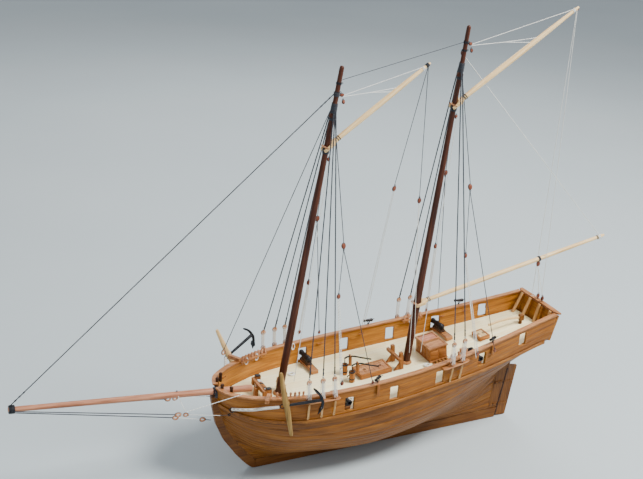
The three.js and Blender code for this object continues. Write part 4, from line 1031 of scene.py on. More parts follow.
def shrouds(mast, spec, hounds, side, sign, order):
    """A side's shrouds, each turned in round a deadeye and held down by a lanyard."""
    data = CHANNELS[mast]
    z = hounds + order * 2.1
    r = mast_r(spec, z)
    lines, eyes, holes, lanyards = Form(), Form(), Form(), Form()
    turns(lines, spec, z - 0.7, 3, 0.34)
    for k, x in enumerate(data["deadeyes"]):
        y, base = channel_foot(x)
        y = (y + CHANNEL_WIDE - 1.4) * sign
        low = Vector((x, y, base + DEADEYE_R + 0.3))
        eye = Vector((data["upper"][k], y * 0.985, base + data["rise"]))
        top = Vector((mast_x(spec, z) + 0.9 - k * 0.9, (r + 0.5) * sign, z + 0.3 * k))
        down = (eye - top).normalized()
        neck = eye - down * (DEADEYE_R + 0.3)
        lines.tube([top, neck], 0.46, 8)
        lines.hoop(eye, ACROSS, DEADEYE_R * 0.88, 0.33, 26)
        tail = neck - down * 7
        lines.tube([neck + Vector((0.45, 0, 0)), tail + Vector((0.3, 0, 0))], 0.27, 7)
        for t in (0.12, 0.5, 0.9):
            lines.turned(mirrored((0.3, -0.6), (0.62, -0.55), (0.66, 0)), neck.lerp(tail, t), down, 14)
        deadeye(eyes, holes, eye)
        for dx in (-0.95, 0.0, 0.95):
            upper = eye + Vector((dx, 0.95 * sign, 0.4 if dx else -0.285))
            lower = low + Vector((dx, 0.95 * sign, -0.3 if dx else 0.9))
            lanyards.tube([eye + Vector((dx, 0, -0.3)), upper, lower, low + Vector((dx, 0, 0.2))], 0.24, 6)
            inner = [upper + Vector((0.25, -1.9 * sign, 0)), lower + Vector((0.6, -1.9 * sign, 0.2))]
            lanyards.tube(inner, 0.2, 6)
        for lift in (0.8, 1.25):
            lanyards.hoop(neck + Vector((0, 0, lift)), down, 0.62, 0.2, 14)
    name = f"{mast}_{side}"
    slot = f"shrouds_{name}"
    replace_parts(lines.make(f"shroud_lines_{name}", "black", slot=slot), slot)
    eyes.make(f"upper_deadeyes_{name}", "dead", slot=slot)
    holes.make(f"upper_deadeye_holes_{name}", "iron", slot=slot)
    lanyards.make(f"lanyards_{name}", "white", slot=slot)


# ---------- blocks, hearts and lines ----------

def standing(centre, axis):
    """A place whose Z lies along the axis and whose Y faces the side."""
    up = Vector(axis).normalized()
    face = (Vector(ACROSS) - up * up.y).normalized()
    return Matrix.Translation(centre) @ Matrix((up.cross(face), face, up)).transposed().to_4x4(), face


def pulley(wood_form, strop_form, centre, axis, size):
    """A rigging block: a rounded wooden shell with a sheave slot, and its strop."""
    place, face = standing(centre, axis)
    for y in (-0.42, 0.42):
        wood_form.ball((0, y * size * 0.62, 0), size, (0.78, 0.26, 1.0), place)
    for low, high in ((0.45, 0.86), (-0.86, -0.5)):
        wood_form.block((-0.5 * size, -0.3 * size, low * size), (0.5 * size, 0.3 * size, high * size), 0.15, place)
    path = [place @ Vector((0.7912 * size * math.sin(a), 0, 1.1 * size * math.cos(a))) for a in circle(20)]
    strop_form.tube(path, 0.24, 7)
    strop_form.hoop(place @ Vector((0, 0, 1.35 * size)), face, 0.34 * size, 0.2, 12)


def heart(wood_form, strop_form, centre, axis, size=1.9):
    """A pear-shaped heart block with a hole, and its strop."""
    place, _ = standing(centre, axis)

    def pear(wide, high):
        return [place @ Vector((wide * math.sin(a), 0, high * math.cos(a) * (1 + 0.35 * max(0, math.cos(a)))))
                for a in circle(24)]
    wood_form.tube(pear(0.7 * size, 0.8 * size), 0.315 * size, 10)
    strop_form.tube(pear(1.02 * size, 1.12 * size), 0.22, 7)


def fine(points, steps=14):
    """A path of short steps through the points."""
    points = [Vector(p) for p in points]
    return points[:1] + [a.lerp(b, k / steps) for a, b in zip(points, points[1:]) for k in range(1, steps + 1)]


def path_length(path):
    return round(sum((b - a).length for a, b in zip(path, path[1:])) * MM, 4)


def line(name, points, diameter, mat, body="hull", declare=True, slot=None, across=None):
    """A taut line held at both ends, riding on a body. A line across a joint is a tube made on no body."""
    path = fine(points)
    if across:
        obj = Form().tube(path, diameter / 2, 7).make(name, mat, None)
        at(path[0])
        at(path[-1])
        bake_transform(obj)
    else:
        data = bpy.data.curves.new(name, "CURVE")
        data.dimensions = "3D"
        data.bevel_depth = diameter / 2 * MM
        data.bevel_resolution = 2
        data.use_fill_caps = True
        spline = data.splines.new("POLY")
        spline.points.add(len(path) - 1)
        for knot, p in zip(spline.points, path):
            knot.co = (*at(p), 1)
        data.materials.append(MAT[mat])
        obj = add_to_scene(bpy.data.objects.new(name, data))
        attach(obj, body)
    length = path_length(path)
    if declare and length >= 0.03 and diameter >= 0.3:
        facts = dict(exit=tuple(at(path[0])), length=length, diameter=diameter * MM, far_end="object")
        if across:
            facts["path"] = [tuple(at(p)) for p in path]
    return obj


# ---------- guns and anchors ----------

GUN_X = {"fore": 168.5, "aft": 46.3}


def on_deck(x, y=0.0, reach=5.0):
    """Stands a shape on the deck at a station, turned to its slope."""
    slope = math.atan2(deck_z(x - reach) - deck_z(x + reach), 2 * reach)
    high = deck_z(x, max(0, abs(y) - 3))
    return Matrix.Translation((x, y, high + 0.3)) @ Matrix.Rotation(slope, 4, "Y")


def gun_place(x, sign):
    y = rail(x)[1] - 2.8
    lean = math.atan2(deck_z(x, 18) - deck_z(x, y), y - 18)
    lift = Matrix.Translation((0, y, deck_z(x, y) - deck_z(x)))
    return Matrix.Diagonal((1, sign, 1, 1)) @ lift @ on_deck(x) @ Matrix.Rotation(-lean, 4, "X")


def gun(end, side, sign):
    """A carronade: barrel with its rings and bore, on a bed that slides."""
    place = gun_place(GUN_X[end], sign)
    body = f"carronade_{end}_{side}"
    barrel, bed, hooks = Form(), Form(), Form()
    profile = [(0, -15.6), (0.7, -15.5), (1.05, -15.1), (1.0, -14.6), (0.75, -14.3), (1.4, -14), (2.1, -13.5), (2.6, -12.9)]
    profile += [(2.72, -12.7), (2.72, -12.2), (2.55, -12.1), (2.5, -10), (2.62, -9.9), (2.62, -9.4), (2.4, -9.3), (2.2, -4.2)]
    profile += [(2.35, -4.1), (2.35, -3.6), (2.15, -3.5), (1.95, 0.4), (2.3, 1.1), (2.42, 1.6), (2.42, 2.5), (2.2, 2.8)]
    profile += [(1.35, 2.8), (1.25, 2.6), (1.25, -6), (0, -6)]
    barrel.turned(profile, (0, 0, 7.4), ACROSS, 30, place)
    barrel.block((-0.9, -9, 4.6), (0.9, -5, 6.2), 0.2, place)
    barrel.turned(mirrored((0, -1.5), (0.45, -1.5)), (0, -7, 5.1), (1, 0, 0), 14, place)
    barrel.hoop((0, -14.9, 7.4), (1, 0, 0), 0.75, 0.22, 16, place)
    barrel.turned([(0, 0), (0.32, 0), (0.32, 0.5), (0, 0.5)], (0, -11.2, 9.8), UP, 12, place)
    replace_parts(barrel.make(f"gun_barrel_{end}_{side}", "bronze", body, slot=body), body)
    bed.block((-2.1, -15, 3.3), (2.1, -0.6, 4.9), 0.25, place)
    bed.block((-1.6, -14.6, 4.8), (-1.0, -4.4, 5.6), 0.15, place)
    bed.block((1.0, -14.6, 4.8), (1.6, -4.4, 5.6), 0.15, place)
    bed.turned([(0, 0), (0.3, 0), (0.3, 2.2), (0.55, 2.3), (0.55, 2.7), (0, 2.8)], (0, -13.2, 4.5), UP, 12, place)
    bed.make(f"gun_bed_{end}_{side}", "gunbed", body, slot=body)
    for dx in (-2.6, 2.6):
        hooks.hoop((dx, -1.4, 3.7), (1, 0, 0), 0.55, 0.18, 12, place)
        hooks.block((dx - 0.3, -23, 2.6), (dx + 0.3, -1.5, 3.05), 0.1, place)
    hooks.make(f"gun_slide_irons_{end}_{side}", "iron", slot=f"gun_slide_{end}_{side}")


def anchor(side, place):
    """An anchor with a wooden stock, curved arms, palms and a ring."""
    iron, stock = Form(), Form()
    iron.tube([(2.5, 0, -1.4), (-6, 0, 0), (-26, 0, 3.4)], [0.95, 1.1, 1.3], 12, place)
    arc = [(-18.6, 13.2), (-20.6, 11.4), (-22.6, 9.2), (-24.8, 5.6), (-26.1, 1.4), (-25.7, -3), (-24, -6.6), (-22.8, -8.6)]
    iron.tube([(x, 0, z) for x, z in arc], [0.35, 0.75, 0.9, 1.05, 1.2, 1.0, 0.85, 0.35], 10, place)
    for x, z, turn in ((-20.8, 10.4, -45), (-24.3, -4.8, 70)):
        spot = place @ Matrix.Translation((x, 0, z)) @ Matrix.Rotation(math.radians(turn), 4, "Y")
        palm = [(-3.3, -0.1), (-2.0, 2.0), (0.8, 2.6), (3.4, 0.1), (0.8, -2.6), (-2.0, -2.0)]
        lay = spot @ Matrix(((1, 0, 0, 0), (0, 0, 1, 0), (0, 1, 0, 0), (0, 0, 0, 1)))
        iron.prism(palm, 0.35, 0.12, lay)
    iron.hoop((3.8, 0, -1.8), ACROSS, 1.7, 0.35, 20, place)
    for end, base in (((5.5, 0, 26), (1, 0, -1.5)), ((-3.5, 0, -27), (1, 0, 1.5))):
        base, end = Vector(base), Vector(end)
        blade = place @ Matrix.Diagonal((1.12, 0.8, 1, 1))
        stock.tube([base, base.lerp(end, 0.45), base.lerp(end, 0.97), end], [2.15, 1.85, 1.2, 0.9], 16, blade)
    slot = f"anchor_{side}"
    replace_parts(iron.make(f"anchor_iron_{side}", "iron", slot=slot), slot)
    stock.make(f"anchor_stock_{side}", "spar" if side == "starboard" else "stock", slot=slot)


def anchors():
    swing = Matrix.Rotation(-math.atan2(9, 26), 4, "Z")
    anchor("port", Matrix.Translation((219.5, 42.5, 78)) @ swing)
    hang = Matrix.Translation((233.5, -41.5, 81)) @ Matrix.Rotation(math.radians(14), 4, "Y")
    anchor("starboard", hang @ Matrix.Diagonal((1, -1, 1, 1)) @ swing)


# ---------- standing rigging ----------

def blocks(name, spots, body="hull", slot=None):
    """Wooden blocks as one piece and their strops as another. Each spot is (centre, axis, size)."""
    shells, strops = Form(), Form()
    for centre, axis, size in spots:
        pulley(shells, strops, centre, axis, size)
    shells.make(f"{name}_blocks", "block", body, slot=slot)
    strops.make(f"{name}_strops", "black", body, slot=slot)


def stays():
    slot, z, tip = "forestay", 298.6, Vector((410.7, 0, 92.1))
    collar, seize = Form(), Form()
    turns(collar, FOREMAST, z - 1.2, 4, 0.34)
    collar.make("forestay_collar", "black", slot=slot)
    start = on_mast(FOREMAST, z, fore=mast_r(FOREMAST, z) + 0.8)
    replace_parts(line("forestay_line", [start, tip], 0.8, "black", slot=slot), slot)
    down = (tip - start).normalized()
    for gap in (4, 8, 12):
        for spot in (start + down * gap, tip - down * gap):
            seize.turned(mirrored((0.3, -0.8), (0.55, -0.7), (0.6, 0)), spot, down, 12)
    seize.make("forestay_seizings", "black", slot=slot)
    a = on_mast(MAINMAST, 332.4, fore=mast_r(MAINMAST, 332.4) + 0.7)
    b = on_mast(FOREMAST, 309, fore=-mast_r(FOREMAST, 309) - 0.7)
    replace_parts(line("triatic_line", [a, b], 0.45, "black", slot="triatic_stay"), "triatic_stay")


def bowsprit_rigging():
    slot = "bowsprit_rigging"

    def tail(name, points, diameter, mat):
        line(name, points, diameter, mat, declare=False, slot=slot)
    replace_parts(line("bobstay_line", [(410.6, 0, 85.7), (294, 0, 58)], 0.75, "black", slot=slot), slot)
    tail("bobstay_tail", [(289.4, 0, 56.9), (272.4, 0, 52.2)], 0.42, "white")
    tail("bobstay_foot", [(268.6, 0, 51.1), (263.4, 0, 49.6)], 0.55, "black")
    woods, strops, iron = Form(), Form(), Form()
    heart(woods, strops, (291.5, 0, 57.4), (1, 0, 0.25))
    heart(woods, strops, (270.5, 0, 51.6), (-1, 0, -0.27))
    iron.hoop((410.8, 0, 88.4), (1, 0, 0.08), 2.9, 0.4, 28)
    for side, sign in SIDES:
        hook = (254.4, (side_y(253, 60.4) + 0.6) * sign, 60.4)
        shroud = [(410.6, 2.7 * sign, 88.2), (296, 12.0 * sign, 67.7)]
        line(f"bowsprit_shroud_{side}", shroud, 0.7, "black", slot=slot)
        lanyard_end = (262, 15.4 * sign, 61.9)
        tail(f"bowsprit_shroud_lanyard_{side}", [(286, 12.9 * sign, 66.1), lanyard_end], 0.4, "white")
        tail(f"bowsprit_shroud_tail_{side}", [lanyard_end, hook], 0.5, "black")
        heart(woods, strops, (293.5, 12.2 * sign, 67.2), (1, -0.08 * sign, 0.16))
        heart(woods, strops, (288.2, 12.6 * sign, 66.3), (-1, 0.1 * sign, -0.16), 1.6)
        iron.hoop(hook, ACROSS, 0.9, 0.3, 14)
    woods.make("bowsprit_hearts", "dead", slot=slot)
    strops.make("bowsprit_heart_strops", "black", slot=slot)
    iron.make("bowsprit_ironwork", "iron", slot=slot)
    tail("jib_outhaul_tail", [(291, 0, 78.6), (288.5, 13.2, 69.4)], 0.44, "white")
    line("jib_tack_line", [(288.2, 13.2, 68.8), (247.1, 23.2, 81.4)], 0.5, "white", slot=slot)
    blocks("bowsprit_outhaul", [((291, 0, 78.2), UP, 1.3)], slot=slot)


def peak_halyard(name, mast, spec, height, shares):
    """A gaff's halyard: its fall, the two legs of its bridle and the line to the peak."""
    body, slot = f"{name}_gaff", f"{name}_peak_halyard"
    start = on_mast(mast, height) - Vector((mast_r(mast, height) + 3.1, 0, 0))
    ends = [spar_point(spec, mast, s, spec["r0"] * 0.6) for s in shares]
    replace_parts(line(f"{name}_peak_line", [start, ends[2]], 0.46, "white", body, slot=slot), slot)
    middle = start.lerp((ends[0] + ends[1]) / 2, 0.52)
    for part, points in (("bridle_a", [middle, ends[0]]), ("bridle_b", [middle, ends[1]]),
                         ("peak_fall", [start + Vector((0, 0.4, -0.6)), middle])):
        line(f"{name}_{part}", points, 0.46, "white", body, slot=slot, declare=False)
    hitches = Form()
    for s in shares:
        r = spec["r0"] + (spec["r1"] - spec["r0"]) * s
        hitch(hitches, spec, mast, s, (-0.6, 0.02, 0.64), r + 0.12, 0.3)
    hitches.make(f"{name}_hitches", "white", body, slot=slot)
    blocks(f"{name}_peak", [(start + Vector((0.6, 0, 0.6)), (1, 0, 0.2), 1.5)], body, slot=slot)
    blocks(f"{name}_peak_lower", [(start + Vector((-1, 0, -4.5)), (0.3, 0, 1), 1.4)], slot=slot)


def topping_lift():
    slot, z = "topping_lift", 323.4
    start = (mast_x(MAINMAST, z) - 1.2, -mast_r(MAINMAST, z) - 2.4, z)
    lift = line("topping_lift_line", [start, (-87.5, -0.2, 161.5)], 0.5, "white", "main_boom", slot=slot)
    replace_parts(lift, slot)
    blocks("topping_lift", [(start, (0.3, 0, 1), 1.5)], slot=slot)
    wrap = Form()
    hitch(wrap, MAIN_BOOM, MAINMAST, 0.965, (0, 0.62, 1.24, 1.86), 1.75, 0.3)
    wrap.make("topping_lift_hitch", "white", "main_boom", slot=slot)


# ---------- running rigging ----------

def runner(name, mast, height, sign, upper, eye, foot, lower, tackle):
    """A pendant from the hounds to a block, its leg to the rail, and a white tackle from a second block."""
    hound = on_mast(mast, height - 1.5, y=(mast_r(mast, height) + 0.6) * sign)
    upper, eye, foot, lower, tackle = map(Vector, (upper, eye, foot, lower, tackle))
    line(f"{name}_pendant", [hound, upper + Vector((0, 0, 2))], 0.58, "black")
    line(f"{name}_leg", [upper - Vector((0, 0, 2)), eye], 0.58, "black")
    line(f"{name}_whip", [upper - Vector((0.2, 0, 2)), lower + Vector((0, 0, 2))], 0.52, "black")
    for k, dx in enumerate((-0.8, 0.8)):
        ends = [lower + Vector((dx, 0, -1.4)), tackle + Vector((dx * 0.5, 0, 4.6))]
        line(f"{name}_tackle_{k}", ends, 0.44, "white", declare=k == 0)
    ends = [lower + Vector((0.2, 0.4, -1.6)), tackle + Vector((1.6, 0.8, 0.4))]
    line(f"{name}_fall", ends, 0.44, "white", declare=False)
    blocks(name, [(upper, upper - hound, 2.1), (lower, UP, 1.8), (tackle + Vector((0, 0, 3.4)), UP, 1.5),
                  (foot + Vector((0, 0, 1.6)), UP, 1.2)])


def backstays():
    fore, main = (FOREMAST, FORE_HOUNDS), (MAINMAST, MAIN_HOUNDS)
    runner("runner_fore_port", *fore, 1, (167.9, 16, 187.4), (150.1, 44.6, 84.2), (150.1, 44.6, 82.9),
           (172.4, 22, 149.4), (176.5, 44.6, 85))
    runner("runner_main_port", *main, 1, (61.4, 16, 223.5), (36.8, 40.2, 90), (36.8, 40.2, 88.6),
           (62.7, 22, 168.7), (54.6, 42.3, 87.6))
    runner("runner_fore_starboard", *fore, -1, (175, -16, 198.4), (153, -44.7, 84.9), (153, -44.7, 83.6),
           (175, -25, 141.5), (171, -45, 85))
    runner("runner_main_starboard", *main, -1, (63.9, -16, 225.1), (41, -41, 90), (41, -41, 88.4),
           (60, -26, 158), (52, -42.4, 87.6))


def vangs():
    peak = spar_point(FORE_GAFF, FOREMAST, 0.975, -1)
    for name, block, feet in (
        ("vang_starboard", (117, -4, 220.8), [(111.3, -43.6, 86.6), (113.4, -43.4, 86.6)]),
        ("vang_port", (98.5, 4, 212), [(97.8, 9.4, 83.4), (93.4, 9.8, 83.6)]),
    ):
        block = Vector(block)
        line(f"{name}_pendant", [peak, block + Vector((0, 0, 2))], 0.5, "black", across="fore_gaff")
        for k, foot in enumerate(feet):
            line(f"{name}_whip_{k}", [block - Vector((0.5 - k, 0, 1.6)), foot], 0.44, "white", declare=k == 0)
        blocks(name, [(block, peak - block, 1.9)])
    wrap = Form()
    hitch(wrap, FORE_GAFF, FOREMAST, 0.975, (-0.6, 0, 0.6), 1.4, 0.28)
    wrap.make("vang_hitch", "black", "fore_gaff")


def main_sheet():
    share = (mast_x(MAINMAST, 121.8) + 27.3) / (mast_x(MAINMAST, 121.8) + 94)
    strop, bolts = Form(), Form()
    hitch(strop, MAIN_BOOM, MAINMAST, share, (-0.7, 0, 0.7), 2.0, 0.32, 22)
    strop.make("sheet_strop", "black", "main_boom")
    upper = spar_point(MAIN_BOOM, MAINMAST, share) - Vector((0, 0, 4.6))
    blocks("sheet_upper", [(upper, UP, 2.1)], "main_boom")
    low = Vector((-34.4, 0, 109.6))
    blocks("sheet_lower", [(low + Vector((0, y, 0)), UP, 1.8) for y in (3, -3)])
    for y in (-3, 3):
        bolts.hoop((-34.4, y, 107.1), ACROSS, 0.7, 0.22, 14)
    bolts.make("sheet_eyebolts", "iron")
    for k, y in enumerate((3, -3)):
        ends = [upper + Vector((0.5 - k, y * 0.15, -1.6)), low + Vector((0, y, 1.8))]
        line(f"sheet_part_{k}", ends, 0.48, "white", across="main_boom")
    line("sheet_fall", [low + Vector((0, -3, -0.8)), (-31.6, -9.5, 107.4)], 0.46, "white", declare=False)


def ensign_halyard():
    peak = spar_point(MAIN_GAFF, MAINMAST, 0.985, -1)
    for k, y in enumerate((-1.4, 1.0)):
        ends = [peak + Vector((0.4 * k, y * 0.4, 0)), (-34, y * 5.5 - 3, 107)]
        line(f"ensign_halyard_{k}", ends, 0.46, "white", across="main_gaff")
    blocks("ensign", [(peak, UP, 1.1)], "main_gaff")


def falls():
    """White halyard falls down both after quarters of each mast, clear of the jaws."""
    for name, mast, jaws, foot in (("fore", FOREMAST, 259.3, 76), ("main", MAINMAST, 284.6, 82)):
        z = jaws - 9
        r = mast_r(mast, z)
        for side, sign in SIDES:
            start = on_mast(mast, z, fore=-r - 0.9, y=2.2 * sign)
            end = on_mast(mast, foot, fore=-mast_r(mast, foot) - 3, y=9.5 * sign)
            line(f"{name}_fall_{side}", [start, end], 0.46, "white", declare=sign > 0)
        blocks(f"{name}_throat", [(on_mast(mast, z, fore=-r - 1.6), UP, 1.4)])
    start = on_mast(FOREMAST, FORE_HOUNDS + 2, y=-mast_r(FOREMAST, FORE_HOUNDS) - 0.6, fore=0.8)
    line("fore_topping_line", [start, (243.6, -27.6, 93)], 0.58, "black")
    woods, strops = Form(), Form()
    heart(woods, strops, (244, -27.4, 90.4), (0.1, 0, 1), 1.7)
    woods.make("fore_topping_heart", "dead")
    strops.make("fore_topping_heart_strop", "black")


# ---------- deck fittings ----------

WALE_HALF = 1.75

def border(form, low, high, rims, bevel, place):
    """Four rails round the edge of a box, so wide in x and in y."""
    (x0, y0, z0), (x1, y1, z1), (dx, dy) = low, high, rims
    for a, b in (((x0, y0), (x1, y0 + dy)), ((x0, y1 - dy), (x1, y1)),
                 ((x0, y0 + dy), (x0 + dx, y1 - dy)), ((x1 - dx, y0 + dy), (x1, y1 - dy))):
        form.block((*a, z0), (*b, z1), bevel, place)


def hatch(name, x, half_x, half_y, high, boards):
    """A coaming with boards across it and two ring bolts."""
    place, rim = on_deck(x), 1.5
    coaming, lid, iron = Form(), Form(), Form()
    border(coaming, (-half_x, -half_y, 0), (half_x, half_y, high), (rim, rim), 0.25, place)
    step, y = (2 * half_x - 2 * rim) / boards, half_y - rim - 0.05
    for k in range(boards):
        a = -half_x + rim + k * step
        lid.block((a + 0.06, -y, 0.4), (a + step - 0.06, y, high - 0.35), 0.14, place)
    for dx in (-half_x * 0.5, half_x * 0.5):
        iron.hoop((dx, 0, high - 0.2), UP, 0.9, 0.2, 16, place)
        iron.ball((dx - 0.9, 0, high - 0.3), 0.35, move=place)
    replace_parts(coaming.make(f"{name}_coaming", "fitting", slot=name), name)
    lid.make(f"{name}_boards", "ply" if name == "aft_hatch" else "rail", slot=name)
    iron.make(f"{name}_rings", "iron", slot=name)


def companion():
    """The companion's panelled sides, its two-leaf lid, and the shot garland beside it."""
    place, board = on_deck(70), on_deck(70, 15.4)
    panels, lid, sides, rack, shot = Form(), Form(), Form(), Form(), Form()
    for y, high in ((-5.9, 13.5), (5.9, 13.0)):
        border(lid, (-8.4, y - 5.9, 12.0), (8.4, y + 5.9, high), (1.4, 1.2), 0.18, place)
        panels.block((-6.9, y - 4.6, 12.0), (6.9, y + 4.6, high - 0.55), 0.3, place)
    for y0, y1 in ((-11.75, -11.35), (11.35, 11.75)):
        for x0, x1 in ((-7, -0.6), (0.6, 7)):
            sides.block((x0, y0, 2), (x1, y1, 9.6), 0.2, place)
    for y0, y1 in ((-10.2, -5.6), (-4.8, -0.2), (0.2, 4.8), (5.6, 10.2)):
        for x0, x1 in ((7.85, 8.2), (-8.2, -7.85)):
            sides.block((x0, y0, 1.6), (x1, y1, 10.2), 0.16, place)
    lid.block((-8.6, -12.1, 0.05), (8.6, 12.1, 0.9), 0.3, place)
    rack.block((-7.2, -2.4, 0.05), (7.2, 2.4, 1.0), 0.3, board)
    for k in range(4):
        for y in (-1.15, 1.15):
            shot.ball((-4.9 + k * 3.25, y, 1.75), 1.05, move=board)
    rack.make("shot_garland", "fitting", slot="companion")
    shot.make("shot", "brass", slot="companion")
    panels.make("companion_lid_panels", "lidpanel", slot="companion_lid")
    lid.make("companion_lid_frames", "rail", slot="companion_lid")
    sides.make("companion_side_panels", "fitting", slot="companion")


def coil(form, centre, radius, count):
    """A flat round coil of line, wound outward and lying on the deck."""
    path = []
    for k, a in enumerate(circle(14, count)):
        r = radius * (0.45 + 0.55 * k / (count * 14)) + random.uniform(-0.08, 0.08)
        lift = 0.3 + 0.25 * (1 + math.sin(a * 0.37)) + random.uniform(-0.05, 0.05)
        path.append(Vector(centre) + Vector((r * math.cos(a), r * math.sin(a), lift)))
    form.tube(path, 0.36, 6)


COILS = ((82, 14, 3.2, 5), (58.5, 15, 3.4, 5), (61, -22, 3, 4), (160, 30, 3, 5), (186, -24, 3, 5),
         (196, 22, 2.8, 4), (203, -9, 2.6, 4), (104, 20, 2.8, 4), (89, -8, 2.6, 4), (30, 21, 3, 4))


def coils():
    """Coils of line on the deck, and hanks hung from the pins."""
    form, hanks = Form(), Form()
    for x, y, r, count in COILS:
        coil(form, (x, y, deck_z(x, y) + 0.15), r, count)
    form.make("deck_coils", "white", slot="topping_lift")
    for x, sign in ((218, 1), (209, 1), (222, -1), (212, -1), (64, 1), (70, -1), (178, -1)):
        top = rail(x)
        base = Vector((top[0], (top[1] - 3.4) * sign, top[2] + 0.2))
        for k in range(5):
            r = 1.0 + 0.12 * k
            hanks.tube([base + Vector((r * math.sin(a) + 0.15 * k, -0.25 * k * sign, -2.6 + 2.7 * math.cos(a)))
                        for a in circle(14)], 0.26, 6)
    hanks.make("pin_coils", "white", slot="topping_lift")


PIN = [(0, -3.4), (0.4, -3.3), (0.55, -0.2), (0.55, 0.2), (0.95, 0.35), (0.65, 1.1), (0.95, 2.8), (0.65, 3.9), (0, 4.2)]


def pin_racks():
    """Belaying pins through racks inside the bulwarks and through a fife rail abaft the foremast."""
    rack, pins, posts = Form(), Form(), Form()
    for start, end, sign, count in ((203, 228, -1, 8), (203, 225, 1, 7), (60, 78, 1, 5), (60, 78, -1, 5)):
        rings = []
        for x in np.linspace(start, end, 12):
            top = rail(x)
            ring = ((-2.0, -2.1), (-2.0, -0.9), (-5.2, -0.9), (-5.2, -2.1))
            rings.append([(top[0], (top[1] + out) * sign, top[2] + dz) for out, dz in ring])
        rack.loft(rings)
        for k in range(count):
            top = rail(start + (end - start) * (k + 0.5) / count)
            pins.turned(PIN, (top[0], (top[1] - 3.8) * sign, top[2] - 0.6), (0, 0.08 * sign, 1), 14)
    x, half = 206, 6.5
    z = deck_z(x)
    for y in (-half, half):
        posts.block((x - 1, y - 1, z), (x + 1, y + 1, z + 8.6), 0.3)
        knob = [(0, 0), (1.1, 0), (0.7, 0.5), (1.2, 1.3), (0.8, 2.0), (0, 2.2)]
        posts.turned(knob, (x, y, z + 8.5), UP, 14)
    posts.block((x - 0.8, -half - 2, z + 5.6), (x + 0.8, half + 2, z + 6.8), 0.25)
    for k in range(4):
        pins.turned(PIN, (x, -half + 2 * half * (k + 0.5) / 4, z + 6.8), UP, 12)
    rack.make("pin_racks", "rail", slot="cap_rail_port")
    pins.make("belaying_pins", "dead", slot="cap_rail_port")
    posts.make("fife_rails", "fittingZ", slot="main_bitts")


def cleats():
    form = Form()
    for x, sign in ((153, -1), (150, 1), (41, -1), (37, 1), (115, -1), (98, 1), (247, 1), (247, -1), (20, 1), (20, -1)):
        top = rail(x)
        place = Matrix.Translation((top[0], (top[1] - 2.9) * sign, top[2] - 6.2))
        horns = [(-2.9, 0, 0.9), (-1.6, 0, 0.35), (0, 0, 0.2), (1.6, 0, 0.35), (2.9, 0, 0.9)]
        form.tube(horns, [0.3, 0.6, 0.7, 0.6, 0.3], 10, place)
        form.block((-0.7, -0.9, -0.5), (0.7, 0.9, 0.4), 0.2, place)
    form.make("bulwark_cleats", "fittingY", slot="bulwark_port")


def swivels():
    """Four swivel guns on stocks at the rail."""
    iron, stock = Form(), Form()
    profile = [(0, -4.6), (0.6, -4.4), (0.5, -3.9), (1.35, -3.6), (1.45, -3), (1.1, -0.5), (1.22, -0.3), (0.85, 3.6), (1.15, 4.1)]
    profile += [(1.15, 4.5), (0.55, 4.5), (0.55, 2), (0, 2)]
    for x, sign, yaw in ((145.6, 1, 24), (36.5, 1, 14), (108, -1, -18), (25.1, -1, -12)):
        top = rail(x)
        place = Matrix.Translation((top[0], (top[1] - 0.6) * sign, top[2] + 0.9))
        place = place @ Matrix.Rotation(math.radians(yaw * sign), 4, "Z")
        iron.turned(profile, (0, 0, 3.4), (0.97, 0.25 * sign, 0.06), 22, place)
        iron.tube([(0, -1.35, 3.5), (0, -1.25, 1.9), (0, 0, 1.1), (0, 1.25, 1.9), (0, 1.35, 3.5)], 0.35, 8, place)
        iron.turned([(0, 0), (0.8, 0), (0.8, 0.4), (0.4, 0.6), (0.35, 1.5), (0, 1.5)], (0, 0, 0), UP, 14, place)
        iron.tube([(-4.2, -0.3 * sign, 3.4), (-6.8, -0.5 * sign, 3.0)], [0.3, 0.2], 8, place)
        y0, y1 = sorted(((top[1] + 0.4) * sign, (top[1] + 1.9) * sign))
        stock.block((x - 1.1, y0, top[2] - 9.5), (x + 1.1, y1, top[2] - 0.9), 0.35)
    iron.make("swivel_guns", "bronze", slot="carronade_fore_port")
    stock.make("swivel_stocks", "fittingZ", slot="cap_rail_port")


def pump_tops():
    iron = Form()
    for y in (6.5, -6.5):
        place = on_deck(147, y)
        iron.turned([(1.8, 0), (2.5, 0), (2.6, 0.5), (2.5, 1.1), (1.8, 1.1)], (0, 0, 8.0), UP, 26, place)
        iron.turned([(2.2, 0), (2.5, 0), (2.55, 0.4), (2.5, 0.8), (2.2, 0.8)], (0, 0, 2.2), UP, 26, place)
        iron.tube([(2.2, 0, 6.2), (3.6, 0, 6.0), (4.2, 0, 5.0)], [0.5, 0.45, 0.45], 10, place)
        iron.turned(mirrored((0, -1.9), (0.5, -1.9)), (-5, 0, 15.2), ACROSS, 14, place)
    iron.make("pump_ironwork", "iron", slot="pump_port")


def windlass_details():
    place, high = on_deck(221.5), 6.6
    rope, iron, caps = Form(), Form(), Form()
    for y in (-9.4, 5.2):
        rope.tube([(2.95 * math.cos(a), y + 0.95 * k / 16, high + 2.95 * math.sin(a))
                   for k, a in enumerate(circle(16, 4))], 0.45, 8, place)
    rope.make("windlass_turns", "white", "windlass_barrel", slot="windlass_barrel")
    for y in (-3.6, 3.6):
        iron.turned(mirrored((2.5, -0.4), (2.95, -0.4), (3.05, 0)), (0, y, high), ACROSS, 26, place)
    iron.make("windlass_hoops", "iron", "windlass_barrel", slot="windlass_barrel")
    for y, end in ((-11, -12.9), (11, 12.9)):
        caps.block((-2.0, y - 1.7, 12.2), (2.0, y + 1.7, 12.9), 0.25, place)
        caps.turned(mirrored((0, -0.3), (1.2, -0.3), (1.3, 0)), (0, end, high), ACROSS, 18, place)
    caps.block((1.6, -12, 9.4), (2.9, 12, 10.6), 0.25, place)
    caps.make("windlass_caps", "iron", slot="windlass_bitts")


